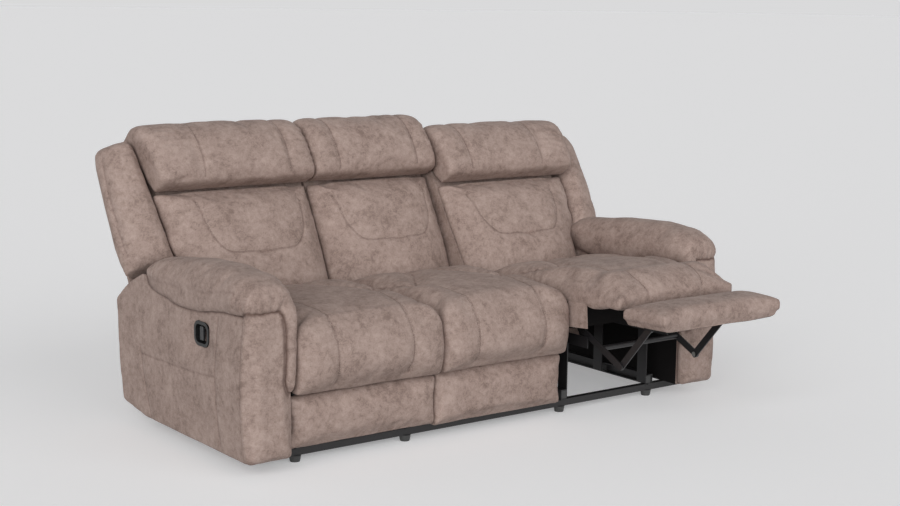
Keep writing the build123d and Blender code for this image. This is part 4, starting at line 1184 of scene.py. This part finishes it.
# %% [markdown]
# The front ends of a seat's side rails are dressed with the cover cloth, as a small board on each side. It is
# cut as a flat bar, its edges are rounded, and it is copied to the other three places.

# %% Seat cheeks
CHEEK = (0.0022, 0.104, 0.128)
CHEEK_PLACE = (70.0, 374.0)
CHEEK_EDGE = 0.0009

frame_low, frame_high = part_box("left_seat_frame")
bpy.ops.object.select_all(action="DESELECT")
bpy.ops.mesh.primitive_cube_add(size=1.0, location=(0.0, 0.0, 0.0))
first_cheek = bpy.context.active_object
first_cheek.name = "left_seat_cheek_1"
first_cheek.data.name = first_cheek.name
bpy.ops.object.mode_set(mode="EDIT")
bpy.ops.mesh.select_all(action="SELECT")
bpy.ops.transform.resize(value=CHEEK)
bpy.ops.transform.translate(value=(frame_low.x - CHEEK[0] / 2, *place(0, *CHEEK_PLACE)[1:]))
bpy.ops.mesh.bevel(offset=CHEEK_EDGE, segments=3)
bpy.ops.object.mode_set(mode="OBJECT")
first_cheek.data.materials.append(cover_cloth)
second_cheek = bpy.data.objects.new("left_seat_cheek_2", first_cheek.data.copy())
second_cheek.data.name = second_cheek.name
scene.collection.objects.link(second_cheek)
put(second_cheek, points(first_cheek) + (frame_high.x - frame_low.x + CHEEK[0], 0, 0))
for cheek in (first_cheek, second_cheek):
    twin = carried(cheek, cheek.name.replace("left", "right"), SEAT_TILT)
    for made, where in ((cheek, "left"), (twin, "right")):
        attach(made, where + "_pan")
print("cheeks beside", [round(v, 4) for v in frame_low], [round(v, 4) for v in frame_high])

# %% [markdown]
# Where two stuffed pieces are sewn together or press on each other, shade is painted into the crease: each
# piece is darkened there by its distance to its neighbours.

# %% Creases, painted shade
CREASE = 0.0065
CREASE_DARK = 0.9


def crease(piece, others):
    """Paint shade on a piece along the lines where its neighbours meet it."""
    places = points(piece)
    for other in others:
        tree = surface_tree(other)
        apart = np.full(len(places), 1.0)
        for i, spot in enumerate(places):
            found = tree.find_nearest(Vector(spot), 3 * CREASE)
            if found[0] is not None:
                apart[i] = found[3]
        paint_shade(piece, CREASE_DARK * np.exp(-(apart / CREASE) ** 2))


BACK_SET = ("back_skin", "headrest_skin", "wing_skin")
ARM_SET = ("arm_roll", "arm_front_skin", "arm_side_skin")
for unit in UNITS:
    for kinds in (BACK_SET, ARM_SET):
        group = [bpy.data.objects.get(unit + "_" + kind) for kind in kinds]
        group = [piece for piece in group if piece]
        for piece in group:
            crease(piece, [other for other in group if other is not piece])
print("creases shaded")

# %% [markdown]
# What is not stuffed keeps its CAD solid and gets its finish: lacquered rails, links and plates, zinc on the
# rivet heads, nylon shoes and feet, plastic handles, the black lining inside, and cover cloth on the cores of
# the backs, of which a thin strip shows between the cushions.

# %% Finishes of the hard pieces
FINISH = {
    "cross_rails": black_lacquer, "base_tracks": black_lacquer, "side_plates": black_lacquer,
    "ottoman_brackets": black_lacquer, "drive_links": black_lacquer, "drive_tube": black_lacquer,
    "lift_links": black_lacquer, "tilt_cranks": black_lacquer, "back_ears": black_lacquer,
    "feet": nylon, "glide_shoes": nylon, "handle_bezel": handle_plastic, "handle_lever": lever_plastic,
    "seat_frame": lining_cloth, "ottoman_board": lining_cloth, "arm_lining": lining_cloth,
    "back_frame": cover_cloth,
}
RIVETED = ("drive_links", "lift_links")
RIVET_AREA = 0.0013
for node_name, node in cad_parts.items():
    kind = node_name.split("_", 1)[1] if node_name.split("_")[0] in UNITS else node_name
    if kind in FINISH:
        node.data.materials.clear()
        node.data.materials.append(FINISH[kind])
    if kind in RIVETED:
        node.data.materials.append(zinc)
        sides = [face for face in node.data.polygons if abs(face.normal.x) > 0.99]
        levels = [round(face.center.x * 5000) for face in sides]
        for face, level in zip(sides, levels):
            area = sum(other.area for other, there in zip(sides, levels) if there == level)
            face.material_index = 1 if area < RIVET_AREA else 0
print("finishes given")
